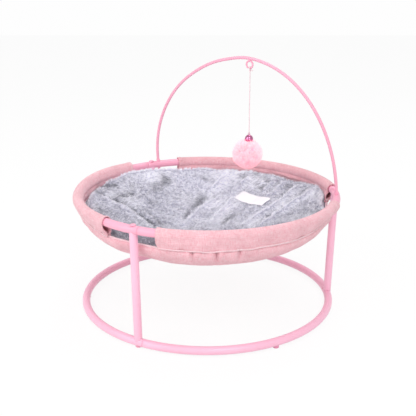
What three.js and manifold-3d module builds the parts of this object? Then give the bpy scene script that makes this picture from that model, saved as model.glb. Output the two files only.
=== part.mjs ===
// A raised cat bed: two steel rings on three legs, a fabric bowl with a plush pad, and an arch
// with a hanging toy. Millimetres, +Z up. The origin is on the floor, under the middle of the rings.
import * as THREE from "three";
import { mergeVertices } from "three/addons/utils/BufferGeometryUtils.js";
import Module from "manifold-3d";

const wasm = await Module();
wasm.setup();

// Ring frame
const tubeDiameter = 15;
const tubeWall = 1.2;
const baseRingRadius = 240;
const upperRingRadius = 245;
const ringRise = 209;
const seatGap = 0.3;
const legCount = 3;
const fullTurnAngle = 360;
const tubeSides = 12;
const arcSteps = 14;

// Swaged joints of the ring arcs, one over each leg
const lapLength = 11;
const shoulderLength = 0.6;

// Legs and the threaded plugs in their ends
const legDiameter = 14.4;
const legWall = 1.2;
const legSides = 16;
const plugLength = 22;
const plugSetback = 0.6;
const cutOverrun = 4;

// Bolts, the same above and below
const boltDiameter = 5.8;
const boltHeadDiameter = 10.5;
const boltHeadHeight = 2.6;
const boltHeadRim = 0.9;
const boltEngagement = 15;
const boltSides = 10;

// Foot glides, midway between the legs
const glideDiameter = 11;
const glideDrop = 3.2;
const glideChamfer = 0.8;
const glideShoulder = 2.4;
const glideStemDiameter = 5;
const glideStemLength = 3.4;

// Arch of bent rod, plugged into the upper ring, which bulges a little to its right
const archRodDiameter = 6;
const archMiddleAngle = 54;
const archHalfAngle = 62;
const archStraight = 11;
const archRise = 240.7;
const archSwayShare = 0.1;
const archLeanAngle = 7.5;
const archTipDrop = 4;
const archSides = 10;
const archSteps = 36;
const earReach = 4.6;
const earThickness = 3.2;
const earHeight = 4;

// Eye under the arch, a wire loop open at the bottom
const eyeOffset = 38.7;
const eyeWireDiameter = 3.4;
const eyeLoopRadius = 6.8;
const eyeGapStartAngle = -24;
const eyeGapEndAngle = 2;
const eyeHookAngle = 11;
const eyeSides = 8;
const eyeSteps = 16;
const eyeSeatGap = 0.5;
const slopeStepShare = 0.001;

// Toy string, with a loop and a knot round the eye
const stringDiameter = 1.8;
const knotRadius = 2.5;
const stringSides = 8;
const loopSides = 6;
const stringStepDiameters = 3;

// Jingle bell and its pellet
const bellDrop = 131;
const bellDiameter = 16;
const bellWall = 0.9;
const bellSlotWidth = 1.8;
const bellSlotRise = 2;
const bellHangerRadius = 2;
const bellHangerWire = 1.1;
const bellSides = 12;
const bellRows = 6;
const pelletDiameter = 4.5;
const pelletDetail = 1;

// Pom-pom under the bell
const pompomDiameter = 56;
const pompomSink = 6.5;
const pompomTuft = 0.8;
const pompomWaves = { x: 9, y: 8, z: 4, slant: 5 };
const pompomDetail = 3;

// Fabric sleeves round the upper ring, with a gap near each leg, slack at the back left
const sleeveEndAngles = [[5.5, 105.5], [132.5, 225.5], [250.5, 340.5]];
const sleeveRadius = 9.8;
const sleeveSlack = 5;
const sleeveSlackMiddleAngle = 150;
const sleeveSlackWidthAngle = 32;
const sleeveSlackTiltAngle = 60;
const fabricThickness = 1.5;
const seamOutset = 2;
const seamDrop = 25;
const seamBand = 5;
const seamFoldHalf = 0.6;
const sleeveSteps = 14;
const sleeveArcPoints = 9;
const sleeveArcDipAngle = 15;

// Fabric bowl sewn to the sleeves, drawn in where it passes behind each leg
const bowlDepth = 72;
const bowlThickness = 3;
const legPinch = 14;
const legPinchAngle = 17;
const rightDraw = 12;
const rightDrawMiddleAngle = -27;
const rightDrawWidthAngle = 20;
const leftDraw = 12;
const leftDrawMiddleAngle = 207;
const leftDrawWidthAngle = 26;
const gapSag = 4;
const pleatCount = 15;
const pleatDepth = 2;
const pleatReachShare = 0.45;
const bowlSegments = 60;
const bowlRows = 6;
const bowlRowPower = 1.3;

// Plush pad in the bowl
const padGap = 1;
const padCrownInset = 23;
const padEdgeInset = 13;
const padEdgeFall = 9;
const padShoulderFall = 2.5;
const padMiddleDrop = 57;
const padDishPower = 1.8;
const padSegments = 78;
const padTopRows = 13;
const foldFadePower = 6;
const foldReachShare = 0.55;
const foldPower = 1.6;
const foldEndShare = 0.25;
const labelRest = 20;
const labelRestFade = 16;

// Height of the pad's edge against the ring, by azimuth in degrees, as a share of the pad's crown radius
const padEdgeShares = [
  [0, -0.062], [9, -0.066], [25, -0.057], [43, -0.062], [50, -0.053], [80, -0.048], [105, -0.044],
  [113, -0.009], [122, 0], [131, 0.009], [140, 0], [145, -0.031], [153, -0.057], [161, -0.097],
  [173, -0.132], [185, -0.123], [200, -0.097], [215, -0.079], [232, -0.088], [240, -0.097],
  [250, -0.084], [262, -0.066], [300, -0.057], [345, -0.066], [360, -0.062],
];

// Folds of the pad: a valley along a line, and a ridge to its left (side 1) or right (side -1), all as
// shares of the pad's crown radius
const padFoldShares = [
  { line: [[-0.938, -0.137], [-0.828, -0.048], [-0.7, 0.004], [-0.52, -0.185], [-0.432, -0.282]],
    depth: 0.04, width: 0.053, ridge: 0.013, side: -1, offset: 0.066 },
  { line: [[-0.789, 0.194], [-0.604, 0.357], [-0.502, 0.551], [-0.48, 0.634]],
    depth: 0.031, width: 0.075, ridge: 0.009, side: 1, offset: 0.115 },
  { line: [[-0.943, 0.203], [-0.837, 0.37]],
    depth: 0.026, width: 0.053, ridge: 0.011, side: 1, offset: 0.062 },
  { line: [[-0.529, 0.106], [-0.441, 0.018]],
    depth: 0.018, width: 0.053, ridge: 0.007, side: 1, offset: 0.07 },
  { line: [[0.203, 0.894], [0.013, 0.709], [-0.053, 0.463], [-0.176, 0.181], [-0.251, -0.137]],
    depth: 0.033, width: 0.053, ridge: 0.026, side: -1, offset: 0.07 },
  { line: [[0.956, 0.176], [0.797, 0.132], [0.608, 0.066], [0.374, -0.211]],
    depth: 0.037, width: 0.053, ridge: 0.02, side: 1, offset: 0.048 },
  { line: [[0.846, 0.432], [0.771, 0.361], [0.639, 0.286], [0.546, 0.115]],
    depth: 0.029, width: 0.053, ridge: 0.015, side: 1, offset: 0.07 },
  { line: [[-0.132, 0.837], [-0.33, 0.661], [-0.441, 0.396]],
    depth: 0.018, width: 0.088, ridge: 0.009, side: -1, offset: 0.132 },
  { line: [[0.903, -0.264], [0.661, -0.396], [0.396, -0.485]],
    depth: 0.022, width: 0.053, ridge: 0.018, side: 1, offset: 0.062 },
  { line: [[-0.661, -0.485], [-0.396, -0.529], [-0.176, -0.396]],
    depth: 0.018, width: 0.062, ridge: 0.011, side: 1, offset: 0.088 },
];

// Sewn label on the pad, bare
const labelLength = 74;
const labelWidth = 27;
const labelThickness = 0.8;
const labelX = 91;
const labelY = 88;
const labelAngle = 137;
const labelLift = 0.6;
const labelColumns = 8;

// Heights and radii that follow from the sizes above
const tubeRadius = tubeDiameter / 2;
const boreRadius = tubeRadius - tubeWall;
const seamRadius = upperRingRadius + seamOutset;
const padEdgeRadius = seamRadius - padEdgeInset;
const padCrownRadius = seamRadius - padCrownInset;
const spigotRadius = boreRadius - seatGap;
const legRadius = legDiameter / 2;
const baseRingZ = glideDrop + tubeRadius;
const upperRingZ = baseRingZ + ringRise;
const sector = (2 * Math.PI) / legCount;
const radians = THREE.MathUtils.degToRad;

// Colours and finishes
const paintedSteel = new THREE.MeshStandardMaterial({ color: 0xf7b3cf, roughness: 0.35, metalness: 0.1 });
const platedSteel = new THREE.MeshStandardMaterial({ color: 0xc9c9cc, roughness: 0.35, metalness: 0.9 });
const pinkFabric = new THREE.MeshStandardMaterial({ color: 0xf2b8c4, roughness: 0.9, metalness: 0 });
const greyPlush = new THREE.MeshStandardMaterial({ color: 0xc9cad6, roughness: 1, metalness: 0 });
const labelCloth = new THREE.MeshStandardMaterial({ color: 0xfafafa, roughness: 0.7, metalness: 0 });
const stringFibre = new THREE.MeshStandardMaterial({ color: 0xf7e6e6, roughness: 0.8, metalness: 0 });
const bellMetal = new THREE.MeshStandardMaterial({ color: 0xd6468f, roughness: 0.15, metalness: 1 });
const pompomFluff = new THREE.MeshStandardMaterial({ color: 0xf9cfdd, roughness: 1, metalness: 0 });
const glidePlastic = new THREE.MeshStandardMaterial({ color: 0xe8a3bd, roughness: 0.6, metalness: 0 });

// A value between the rows of a table of azimuths in degrees and values, from 0 to a full turn
function between(table, azimuth) {
  const degrees = THREE.MathUtils.euclideanModulo(THREE.MathUtils.radToDeg(azimuth), fullTurnAngle);
  const next = table.findIndex(([place]) => place > degrees);
  const [[before, low], [after, high]] = [table[next - 1], table[next]];
  return low + ((high - low) * (degrees - before)) / (after - before);
}

// Geometry with shared corners and no slivers, from any closed geometry
function cleaned(geometry) {
  const bare = geometry.clone();
  bare.deleteAttribute("normal");
  bare.deleteAttribute("uv");
  const merged = mergeVertices(bare);
  const kept = [];
  for (let i = 0; i < merged.index.count; i += 3) {
    const corners = [0, 1, 2].map((k) => merged.index.getX(i + k));
    if (new Set(corners).size === corners.length) kept.push(...corners);
  }
  merged.setIndex(kept);
  return merged;
}

// Signed volume, which is below zero when the faces point in
function signedVolume(geometry) {
  const place = geometry.attributes.position;
  const corner = [0, 1, 2].map(() => new THREE.Vector3());
  let sum = 0;
  for (let i = 0; i < geometry.index.count; i += 3) {
    corner.forEach((c, k) => c.fromBufferAttribute(place, geometry.index.getX(i + k)));
    sum += corner[0].dot(corner[1].clone().cross(corner[2])) / 6;
  }
  return sum;
}

// A closed surface through rings of equal length; a ring of one repeated point is a pole
function loft(rings, joinEnds = false) {
  const count = rings[0].length;
  const corners = [];
  const spans = joinEnds ? rings.length : rings.length - 1;
  for (let i = 0; i < spans; i++) {
    const here = i * count;
    const next = ((i + 1) % rings.length) * count;
    for (let j = 0; j < count; j++) {
      const k = (j + 1) % count;
      corners.push(here + j, here + k, next + k, here + j, next + k, next + j);
    }
  }
  const geometry = new THREE.BufferGeometry().setFromPoints(rings.flat());
  geometry.setIndex(corners);
  const closed = cleaned(geometry);
  if (signedVolume(closed) < 0) closed.index.array.reverse();
  closed.computeVertexNormals();
  return closed;
}

// A hollow form: outer rings one way, then inner rings back
const hollowLoft = (outer, inner) => loft([...outer, ...inner.reverse()], true);

// Solids for cutting and joining, and back again
function solid(geometry) {
  const shape = cleaned(geometry);
  const mesh = new wasm.Mesh({
    numProp: 3,
    vertProperties: Float32Array.from(shape.attributes.position.array),
    triVerts: Uint32Array.from(shape.index.array),
  });
  return new wasm.Manifold(mesh);
}

function surface(body) {
  const { vertProperties, triVerts } = body.getMesh();
  const geometry = new THREE.BufferGeometry();
  geometry.setAttribute("position", new THREE.BufferAttribute(Float32Array.from(vertProperties), 3));
  geometry.setIndex(new THREE.BufferAttribute(Uint32Array.from(triVerts), 1));
  geometry.computeVertexNormals();
  return geometry;
}

// Evenly spread values from one end to the other
const spread = (from, to, steps) =>
  Array.from({ length: steps + 1 }, (_, i) => from + ((to - from) * i) / steps);

// A turned piece about Z, from its radius and height pairs
function turned(profile, sides) {
  const points = profile.map(([radius, height]) => new THREE.Vector2(radius, height));
  return new THREE.LatheGeometry(points, sides).rotateX(Math.PI / 2);
}

// A round bar along a curve
function bar(curve, radius, sides, steps) {
  const corners = spread(0, 2 * Math.PI, sides).slice(0, sides);
  const outline = corners.map((a) => new THREE.Vector2(radius * Math.cos(a), radius * Math.sin(a)));
  const section = new THREE.Shape(outline);
  return new THREE.ExtrudeGeometry(section, { steps, extrudePath: curve, bevelEnabled: false });
}

// A point at an azimuth, a radius from the middle and a height
const around = (azimuth, radius, height) =>
  new THREE.Vector3(radius * Math.cos(azimuth), radius * Math.sin(azimuth), height);

// One ring of a tube that runs round the bed
function tubeRing(azimuth, ringRadius, height, radius, sides = tubeSides) {
  const turns = spread(0, 2 * Math.PI, sides).slice(0, sides);
  return turns.map((a) => around(azimuth, ringRadius + radius * Math.cos(a), height + radius * Math.sin(a)));
}

const part = new THREE.Group();

function piece(name, geometry, material, parent = part) {
  const mesh = new THREE.Mesh(geometry, material);
  mesh.name = name;
  parent.add(mesh);
  return mesh;
}

// Where the leg's line runs: from the base ring's centreline to the upper ring's
const legTilt = Math.atan2(upperRingRadius - baseRingRadius, ringRise);
const legLength = Math.hypot(upperRingRadius - baseRingRadius, ringRise);
const legFrame = new THREE.Matrix4()
  .makeTranslation(baseRingRadius, 0, baseRingZ)
  .multiply(new THREE.Matrix4().makeRotationY(legTilt));

// A third of a ring: a plain tube with one open end and, at its start, one swaged spigot
function ringArc(ringRadius, height) {
  const lap = lapLength / ringRadius;
  const shoulder = shoulderLength / ringRadius;
  const gap = seatGap / ringRadius;
  const seam = sector - lap - shoulder - gap;
  const stations = [-lap, ...spread(lap, seam, arcSteps)].map((azimuth) => [azimuth, tubeRadius]);
  stations.push([seam + shoulder, spigotRadius], [sector + lap, spigotRadius]);
  const ring = ([azimuth, radius], wall) => tubeRing(sector - azimuth, ringRadius, height, radius - wall);
  const outer = stations.map((station) => ring(station, 0));
  const inner = stations.map((station) => ring(station, tubeWall));
  return solid(hollowLoft(outer, inner));
}

// A round drill along the leg's line, across the tube at one end of the leg
function boltDrill(alongLeg, azimuth) {
  const radius = boltDiameter / 2 + seatGap;
  const reach = tubeRadius + cutOverrun;
  const drill = turned([[0, -reach], [radius, -reach], [radius, reach], [0, reach]], boltSides);
  drill.translate(0, 0, alongLeg);
  drill.applyMatrix4(legFrame);
  drill.rotateZ(azimuth);
  return solid(drill);
}

// The round of a ring that a leg's end or a glide is fitted against
function ringCutter(ringRadius, height, azimuth) {
  const reach = (tubeRadius + cutOverrun) / ringRadius;
  const ends = [azimuth - reach, azimuth + reach];
  const rings = ends.map((a) => tubeRing(a, ringRadius, height, tubeRadius + seatGap));
  const poles = ends.map((a) => rings[0].map(() => around(a, ringRadius, height)));
  return solid(loft([poles[0], ...rings, poles[1]]));
}

// A leg: straight tube with both ends coped to the rings
function legBody() {
  const bore = legRadius - legWall;
  const profile = [[bore, 0], [legRadius, 0], [legRadius, legLength], [bore, legLength], [bore, 0]];
  const tube = solid(turned(profile, legSides).applyMatrix4(legFrame));
  const foot = ringCutter(baseRingRadius, baseRingZ, 0);
  const head = ringCutter(upperRingRadius, upperRingZ, 0);
  return tube.subtract(foot).subtract(head);
}

// A threaded plug in a leg's end, bored for the bolt
function plugBody() {
  const outside = legRadius - legWall - seatGap;
  const bore = boltDiameter / 2 + seatGap;
  return turned([[bore, 0], [outside, 0], [outside, plugLength], [bore, plugLength], [bore, 0]], boltSides);
}

// A bolt whose head sits on the tube and whose shank reaches down into the plug
function boltBody() {
  const head = boltHeadDiameter / 2;
  const shank = boltDiameter / 2;
  const reach = 2 * tubeRadius + seatGap + plugSetback + boltEngagement;
  const domeShares = [[1, 0], [0.86, 0.62], [0.5, 0.93]];
  const dome = domeShares.map(([across, up]) => [
    head * across,
    boltHeadRim + (boltHeadHeight - boltHeadRim) * up,
  ]);
  const profile = [[0, -reach], [shank, -reach], [shank, 0], [head, 0], ...dome, [0, boltHeadHeight]];
  return turned(profile, boltSides);
}

// A push-in glide: a foot with a saddle for the tube and a stem up into it
function glideBody() {
  const foot = glideDiameter / 2;
  const top = glideDrop + glideShoulder;
  const profile = [[0, 0], [foot - glideChamfer, 0], [foot, glideChamfer], [foot, top], [0, top]];
  const seat = ringCutter(baseRingRadius, baseRingZ, 0);
  const stemRadius = glideStemDiameter / 2;
  const stemTop = glideDrop + tubeWall + glideStemLength;
  const stemProfile = [[0, glideChamfer], [stemRadius, glideChamfer], [stemRadius, stemTop], [0, stemTop]];
  const stem = turned(stemProfile, boltSides);
  const placed = solid(turned(profile, boltSides)).translate([baseRingRadius, 0, 0]).subtract(seat);
  return placed.add(solid(stem.translate(baseRingRadius, 0, 0)));
}

// The hole in the base ring for a glide's stem
function stemDrill() {
  const radius = glideStemDiameter / 2 + seatGap;
  const drill = turned([[0, 0], [radius, 0], [radius, baseRingZ], [0, baseRingZ]], boltSides);
  return solid(drill.translate(baseRingRadius, 0, 0).rotateZ(sector / 2));
}

// The arch stands in a plane over the chord between its two feet, leaning in over the bed
const archFoot = radians(archHalfAngle);
const archHalfSpan = upperRingRadius * Math.sin(archFoot);
const archStand = new THREE.Group();
const archTurn = radians(archMiddleAngle);
archStand.position.copy(around(archTurn, upperRingRadius * Math.cos(archFoot), upperRingZ));
archStand.rotation.z = archTurn - Math.PI / 2;
const archPlane = new THREE.Group();
archPlane.rotation.x = radians(archLeanAngle);
archStand.add(archPlane);
part.add(archStand);
part.updateMatrixWorld(true);

// Height of the rod's centreline over the chord, by how far along the half span it is
function archHeight(share) {
  return archStraight + archRise * Math.sqrt(1 - share ** 2) * (1 + archSwayShare * share);
}

function archRod() {
  const tip = -(tubeRadius + archTipDrop);
  const bend = spread(Math.PI, 0, archSteps).map(
    (a) => new THREE.Vector3(archHalfSpan * Math.cos(a), 0, archHeight(Math.cos(a))),
  );
  const feet = [-archHalfSpan, archHalfSpan].map((x) => new THREE.Vector3(x, 0, tip));
  const curve = new THREE.CatmullRomCurve3([feet[0], ...bend, feet[1]], false, "centripetal");
  return solid(bar(curve, archRodDiameter / 2, archSides, archSteps));
}

// Pressed ears that stop the rod on top of the ring
function archEar(side) {
  const bottom = tubeRadius + seatGap;
  const half = earThickness / 2;
  const outline = new THREE.Shape([
    new THREE.Vector2(-earReach, 0),
    new THREE.Vector2(earReach, 0),
    new THREE.Vector2(archRodDiameter / 2, earHeight),
    new THREE.Vector2(-archRodDiameter / 2, earHeight),
  ]);
  const ear = new THREE.ExtrudeGeometry(outline, { depth: earThickness, bevelEnabled: false });
  ear.rotateX(Math.PI / 2).translate(side * archHalfSpan, half, bottom);
  return solid(ear);
}

// A drill for one foot of the arch, in the frame of a third turned by an angle
function archDrill(side, turn) {
  const radius = archRodDiameter / 2 + seatGap;
  const reach = tubeRadius + cutOverrun;
  const drill = turned([[0, -reach], [radius, -reach], [radius, reach], [0, reach]], boltSides);
  drill.translate(side * archHalfSpan, 0, 0).applyMatrix4(archPlane.matrixWorld).rotateZ(-turn);
  return solid(drill);
}

// The eye hangs plumb under the rod, to one side of the middle
const eyeShare = eyeOffset / archHalfSpan;
const eyeRodPoint = new THREE.Vector3(eyeOffset, 0, archHeight(eyeShare));
eyeRodPoint.applyMatrix4(archPlane.matrixWorld);
const eyeDrop = archRodDiameter / 2 + eyeWireDiameter / 2 + eyeLoopRadius;
const toyStand = new THREE.Group();
toyStand.position.copy(eyeRodPoint).setZ(eyeRodPoint.z - eyeDrop);
toyStand.rotation.z = archStand.rotation.z;
part.add(toyStand);
part.updateMatrixWorld(true);

// A place on the eye's loop, by its angle from the lowest point
function onEye(degrees) {
  const angle = radians(degrees);
  return new THREE.Vector3(eyeLoopRadius * Math.sin(angle), 0, -eyeLoopRadius * Math.cos(angle));
}

function eyeBody() {
  const turns = spread(eyeGapEndAngle, fullTurnAngle + eyeGapStartAngle, eyeSteps);
  const loop = new THREE.CatmullRomCurve3(turns.map(onEye));
  const wire = solid(bar(loop, eyeWireDiameter / 2, eyeSides, eyeSteps));
  const ends = [eyeShare - slopeStepShare, eyeShare + slopeStepShare].map(archHeight);
  const slope = Math.atan((ends[1] - ends[0]) / (2 * slopeStepShare * archHalfSpan));
  const reach = eyeLoopRadius + eyeWireDiameter;
  const seat = archRodDiameter / 2 + eyeSeatGap;
  const rod = turned([[0, -reach], [seat, -reach], [seat, reach], [0, reach]], archSides);
  rod.rotateY(Math.PI / 2 - slope).translate(0, 0, eyeDrop);
  return wire.subtract(solid(rod));
}

// String loop round the eye's wire, pulled into a knot below it
const hook = onEye(eyeHookAngle);
const stringLoopRadius = eyeWireDiameter / 2 + seatGap + stringDiameter / 2;
const knotDrop = stringLoopRadius + knotRadius - stringDiameter / 2;
const knotPlace = hook.clone().setZ(hook.z - knotDrop);

function stringLoopBody() {
  const ring = new THREE.TorusGeometry(stringLoopRadius, stringDiameter / 2, loopSides, boltSides);
  ring.rotateY(Math.PI / 2).rotateY(-radians(eyeHookAngle)).translate(hook.x, 0, hook.z);
  const knot = new THREE.SphereGeometry(knotRadius, boltSides, loopSides).rotateX(Math.PI / 2);
  knot.translate(knotPlace.x, 0, knotPlace.z);
  return solid(ring).add(solid(knot));
}

// Bell, pellet and pom-pom hang plumb below the knot
const bellRadius = bellDiameter / 2;
const bellPlace = knotPlace.clone().setZ(knotPlace.z - bellDrop);
const hangerTop = bellRadius + 2 * bellHangerRadius;

function spherePoints(radius) {
  return spread(-Math.PI / 2, Math.PI / 2, bellRows).map((a) => [radius * Math.cos(a), radius * Math.sin(a)]);
}

function bellBody() {
  const shell = solid(turned(spherePoints(bellRadius), bellSides));
  const hollow = solid(turned(spherePoints(bellRadius - bellWall), bellSides));
  const low = -(bellRadius + cutOverrun);
  const slots = [0, Math.PI / 2].map((turn) => {
    const slot = new THREE.BoxGeometry(2 * bellRadius, bellSlotWidth, -bellSlotRise - low);
    return solid(slot.translate(0, 0, (low - bellSlotRise) / 2).rotateZ(turn));
  });
  const hanger = new THREE.TorusGeometry(bellHangerRadius, bellHangerWire / 2, loopSides, boltSides);
  hanger.rotateX(Math.PI / 2).translate(0, 0, bellRadius + bellHangerRadius - bellHangerWire / 2);
  const body = slots.reduce((cut, slot) => cut.subtract(slot), shell.subtract(hollow));
  return body.add(solid(hanger).subtract(hollow));
}

function pompomBody() {
  const radius = pompomDiameter / 2;
  const ball = cleaned(new THREE.IcosahedronGeometry(radius, pompomDetail));
  const place = ball.attributes.position;
  const point = new THREE.Vector3();
  for (let i = 0; i < place.count; i++) {
    point.fromBufferAttribute(place, i).normalize();
    const across = Math.sin(pompomWaves.x * point.x + pompomWaves.z * point.z);
    const along = Math.cos(pompomWaves.y * point.y - pompomWaves.slant * point.z);
    point.multiplyScalar(radius + pompomTuft * across * along);
    place.setXYZ(i, point.x, point.y, point.z);
  }
  const dimple = new THREE.SphereGeometry(bellRadius + 2 * seatGap, bellSides, bellRows).rotateX(Math.PI / 2);
  dimple.translate(0, 0, radius - pompomSink + bellRadius);
  return solid(ball).subtract(solid(dimple));
}

// How far the fabric is drawn in at an azimuth: 1 behind a leg, 0 away from it
function pinchShare(azimuth) {
  const fromLeg = Math.abs(((azimuth % sector) + 1.5 * sector) % sector - sector / 2);
  return Math.cos((Math.PI / 2) * Math.min(1, fromLeg / radians(legPinchAngle))) ** 2;
}

// A smooth rise and fall round an azimuth, 1 at its middle
function swell(azimuth, middleAngle, widthAngle) {
  const turn = THREE.MathUtils.euclideanModulo(azimuth - radians(middleAngle) + Math.PI, 2 * Math.PI);
  return Math.exp(-(((turn - Math.PI) / radians(widthAngle)) ** 2));
}

// How far the seam is drawn in at an azimuth: behind the legs, at the right and at the left
function seamDraw(azimuth) {
  const right = rightDraw * swell(azimuth, rightDrawMiddleAngle, rightDrawWidthAngle);
  const left = leftDraw * swell(azimuth, leftDrawMiddleAngle, leftDrawWidthAngle);
  return legPinch * pinchShare(azimuth) + right + left;
}

// Radius of the seam at an azimuth, and its share of the seam's plain radius
const seamRadiusAt = (azimuth) => seamRadius - seamDraw(azimuth);
const drawnShare = (azimuth) => seamRadiusAt(azimuth) / seamRadius;

// A sleeve's section: round over the tube, then two sides that meet in the seam below
function sleeveSection(azimuth, offset) {
  const radius = sleeveRadius - offset;
  const dip = radians(sleeveArcDipAngle);
  const outerDip = dip + Math.atan(seamDraw(azimuth) / seamDrop);
  const slack = sleeveSlack * swell(azimuth, sleeveSlackMiddleAngle, sleeveSlackWidthAngle);
  const round = spread(-outerDip, Math.PI + dip, sleeveArcPoints).map((a) => {
    const size = radius + slack * Math.max(0, Math.cos(a - radians(sleeveSlackTiltAngle)));
    return [upperRingRadius + size * Math.cos(a), size * Math.sin(a)];
  });
  const seam = seamRadiusAt(azimuth);
  const half = offset > 0 ? seamFoldHalf : fabricThickness;
  const bottom = -seamDrop + (offset > 0 ? seamBand : 0);
  const tail = [[seam - half, bottom], [seam + half, bottom]];
  return [...round, ...tail].map(([r, z]) => around(azimuth, r, upperRingZ + z));
}

function sleeveBody([start, end]) {
  const stations = spread(radians(start), radians(end), sleeveSteps);
  const outer = stations.map((azimuth) => sleeveSection(azimuth, 0));
  const inner = stations.map((azimuth) => sleeveSection(azimuth, fabricThickness));
  return hollowLoft(outer, inner);
}

// The bowl's wall, from its rim down to the middle of its floor
const rimDrop = (azimuth) => seamDrop + seatGap + gapSag * pinchShare(azimuth);
const bowlTurns = spread(0, 2 * Math.PI, bowlSegments).slice(0, bowlSegments);
const bowlQuarters = spread(0, 1, bowlRows).map((share) => (Math.PI / 2) * share ** bowlRowPower);

function pleatShare(azimuth, depthShare) {
  const valley = 1 - Math.abs(Math.sin((pleatCount * azimuth) / 2));
  return valley ** 2 * Math.sin(Math.PI * Math.min(1, depthShare / pleatReachShare));
}

function bowlPoint(azimuth, quarter, inset) {
  const radius = (seamRadius + bowlThickness / 2 - inset) * Math.cos(quarter);
  const depthShare = Math.sin(quarter);
  const pleat = inset === 0 ? pleatDepth * pleatShare(azimuth, depthShare) : 0;
  const height = upperRingZ - rimDrop(azimuth) * (1 - depthShare) - seamDrop * depthShare;
  return around(azimuth, radius * drawnShare(azimuth) - pleat, height - (bowlDepth - inset) * depthShare);
}

function bowlSide(inset, turns = bowlTurns) {
  return bowlQuarters.map((quarter) => turns.map((azimuth) => bowlPoint(azimuth, quarter, inset)));
}

function bowlBody() {
  return loft([...bowlSide(0).reverse(), ...bowlSide(bowlThickness)]);
}

// How near a place is to a fold's line, on which side of it, and how far along it
function nearFold(line, u, v) {
  const spans = line.slice(1).map((end, i) => [line[i], end]);
  const parts = spans.map(([[u0, v0], [u1, v1]], i) => {
    const [du, dv] = [u1 - u0, v1 - v0];
    const along = ((u - u0) * du + (v - v0) * dv) / (du * du + dv * dv);
    const share = Math.min(1, Math.max(0, along));
    const away = Math.hypot(u - u0 - share * du, v - v0 - share * dv);
    return { away, side: Math.sign(du * (v - v0) - dv * (u - u0)), share: (i + share) / spans.length };
  });
  return parts.reduce((best, span) => (span.away < best.away ? span : best));
}

// Height of the pad's folds at a place: below zero in a valley, above it on a ridge
function foldHeight(x, y) {
  const [u, v] = [x / padCrownRadius, y / padCrownRadius];
  const height = padFoldShares.reduce((sum, fold) => {
    const near = nearFold(fold.line, u, v);
    const fade = Math.sin(Math.PI * (foldEndShare + (1 - 2 * foldEndShare) * near.share));
    const valley = Math.exp(-((near.away / fold.width) ** foldPower));
    const across = near.side === fold.side ? near.away : -near.away;
    const ridge = Math.exp(-(((across - fold.offset) / (foldReachShare * fold.offset)) ** 2));
    return sum + fade * (fold.ridge * ridge - fold.depth * valley);
  }, 0);
  return height * padCrownRadius;
}

// Height of the pad's dish at a place, without its folds
function padDishHeight(x, y) {
  const azimuth = Math.atan2(y, x);
  const out = Math.min(1, Math.hypot(x, y) / (padCrownRadius * drawnShare(azimuth)));
  const edge = padCrownRadius * between(padEdgeShares, azimuth);
  return upperRingZ - padMiddleDrop + (edge + padMiddleDrop) * out ** padDishPower;
}

// A place in the label's own frame, along it and across it
function onLabel(x, y) {
  const turn = radians(labelAngle);
  const [dx, dy] = [x - labelX, y - labelY];
  return [dx * Math.cos(turn) + dy * Math.sin(turn), dy * Math.cos(turn) - dx * Math.sin(turn)];
}

// The level patch that the label lies on: a plane that touches the dish under the label's middle
function labelPlane(x, y) {
  const middle = padDishHeight(labelX, labelY);
  const [half, side] = [labelWidth / 2, labelWidth];
  const rise = (dx, dy) => padDishHeight(labelX + dx, labelY + dy) - padDishHeight(labelX - dx, labelY - dy);
  return middle + (rise(half, 0) * (x - labelX) + rise(0, half) * (y - labelY)) / side;
}

// Height of the pad's top at a place
function padTop(x, y) {
  const out = Math.min(1, Math.hypot(x, y) / (padCrownRadius * drawnShare(Math.atan2(y, x))));
  const free = padDishHeight(x, y) + foldHeight(x, y) * (1 - out ** foldFadePower);
  const [along, across] = onLabel(x, y).map(Math.abs);
  const beyond = Math.hypot(Math.max(0, along - labelLength / 2), Math.max(0, across - labelWidth / 2));
  const level = 1 - THREE.MathUtils.smoothstep(beyond, labelRest, labelRest + labelRestFade);
  return free + (labelPlane(x, y) - free) * level;
}

function padBody() {
  const turns = spread(0, 2 * Math.PI, padSegments).slice(0, padSegments);
  const under = bowlSide(bowlThickness + padGap, turns).slice(1).reverse();
  const rim = (radius, fall) =>
    turns.map((azimuth) => {
      const edge = padCrownRadius * between(padEdgeShares, azimuth);
      return around(azimuth, radius * drawnShare(azimuth), upperRingZ + edge - fall);
    });
  const top = spread(1, 0, padTopRows).map((share) =>
    turns.map((azimuth) => {
      const place = around(azimuth, padCrownRadius * share * drawnShare(azimuth), 0);
      return place.setZ(padTop(place.x, place.y));
    }),
  );
  const shoulder = rim((padEdgeRadius + padCrownRadius) / 2, padShoulderFall);
  return loft([...under, rim(padEdgeRadius, padEdgeFall), shoulder, ...top]);
}

// The label follows the pad's top
function labelBody() {
  const turn = radians(labelAngle);
  const grid = (lift) =>
    spread(-labelLength / 2, labelLength / 2, labelColumns).map((along) =>
      [-labelWidth / 2, labelWidth / 2].map((across) => {
        const x = labelX + along * Math.cos(turn) - across * Math.sin(turn);
        const y = labelY + along * Math.sin(turn) + across * Math.cos(turn);
        return new THREE.Vector3(x, y, padTop(x, y) + lift);
      }),
    );
  const low = grid(labelLift);
  const high = grid(labelLift + labelThickness);
  const rings = low.map((pair, i) => [pair[0], pair[1], high[i][1], high[i][0]]);
  const ends = [rings[0], rings.at(-1)].map((ring) => {
    const middle = ring.reduce((sum, p) => sum.add(p), new THREE.Vector3()).divideScalar(ring.length);
    return ring.map(() => middle);
  });
  return loft([ends[0], ...rings, ends[1]]);
}

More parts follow.
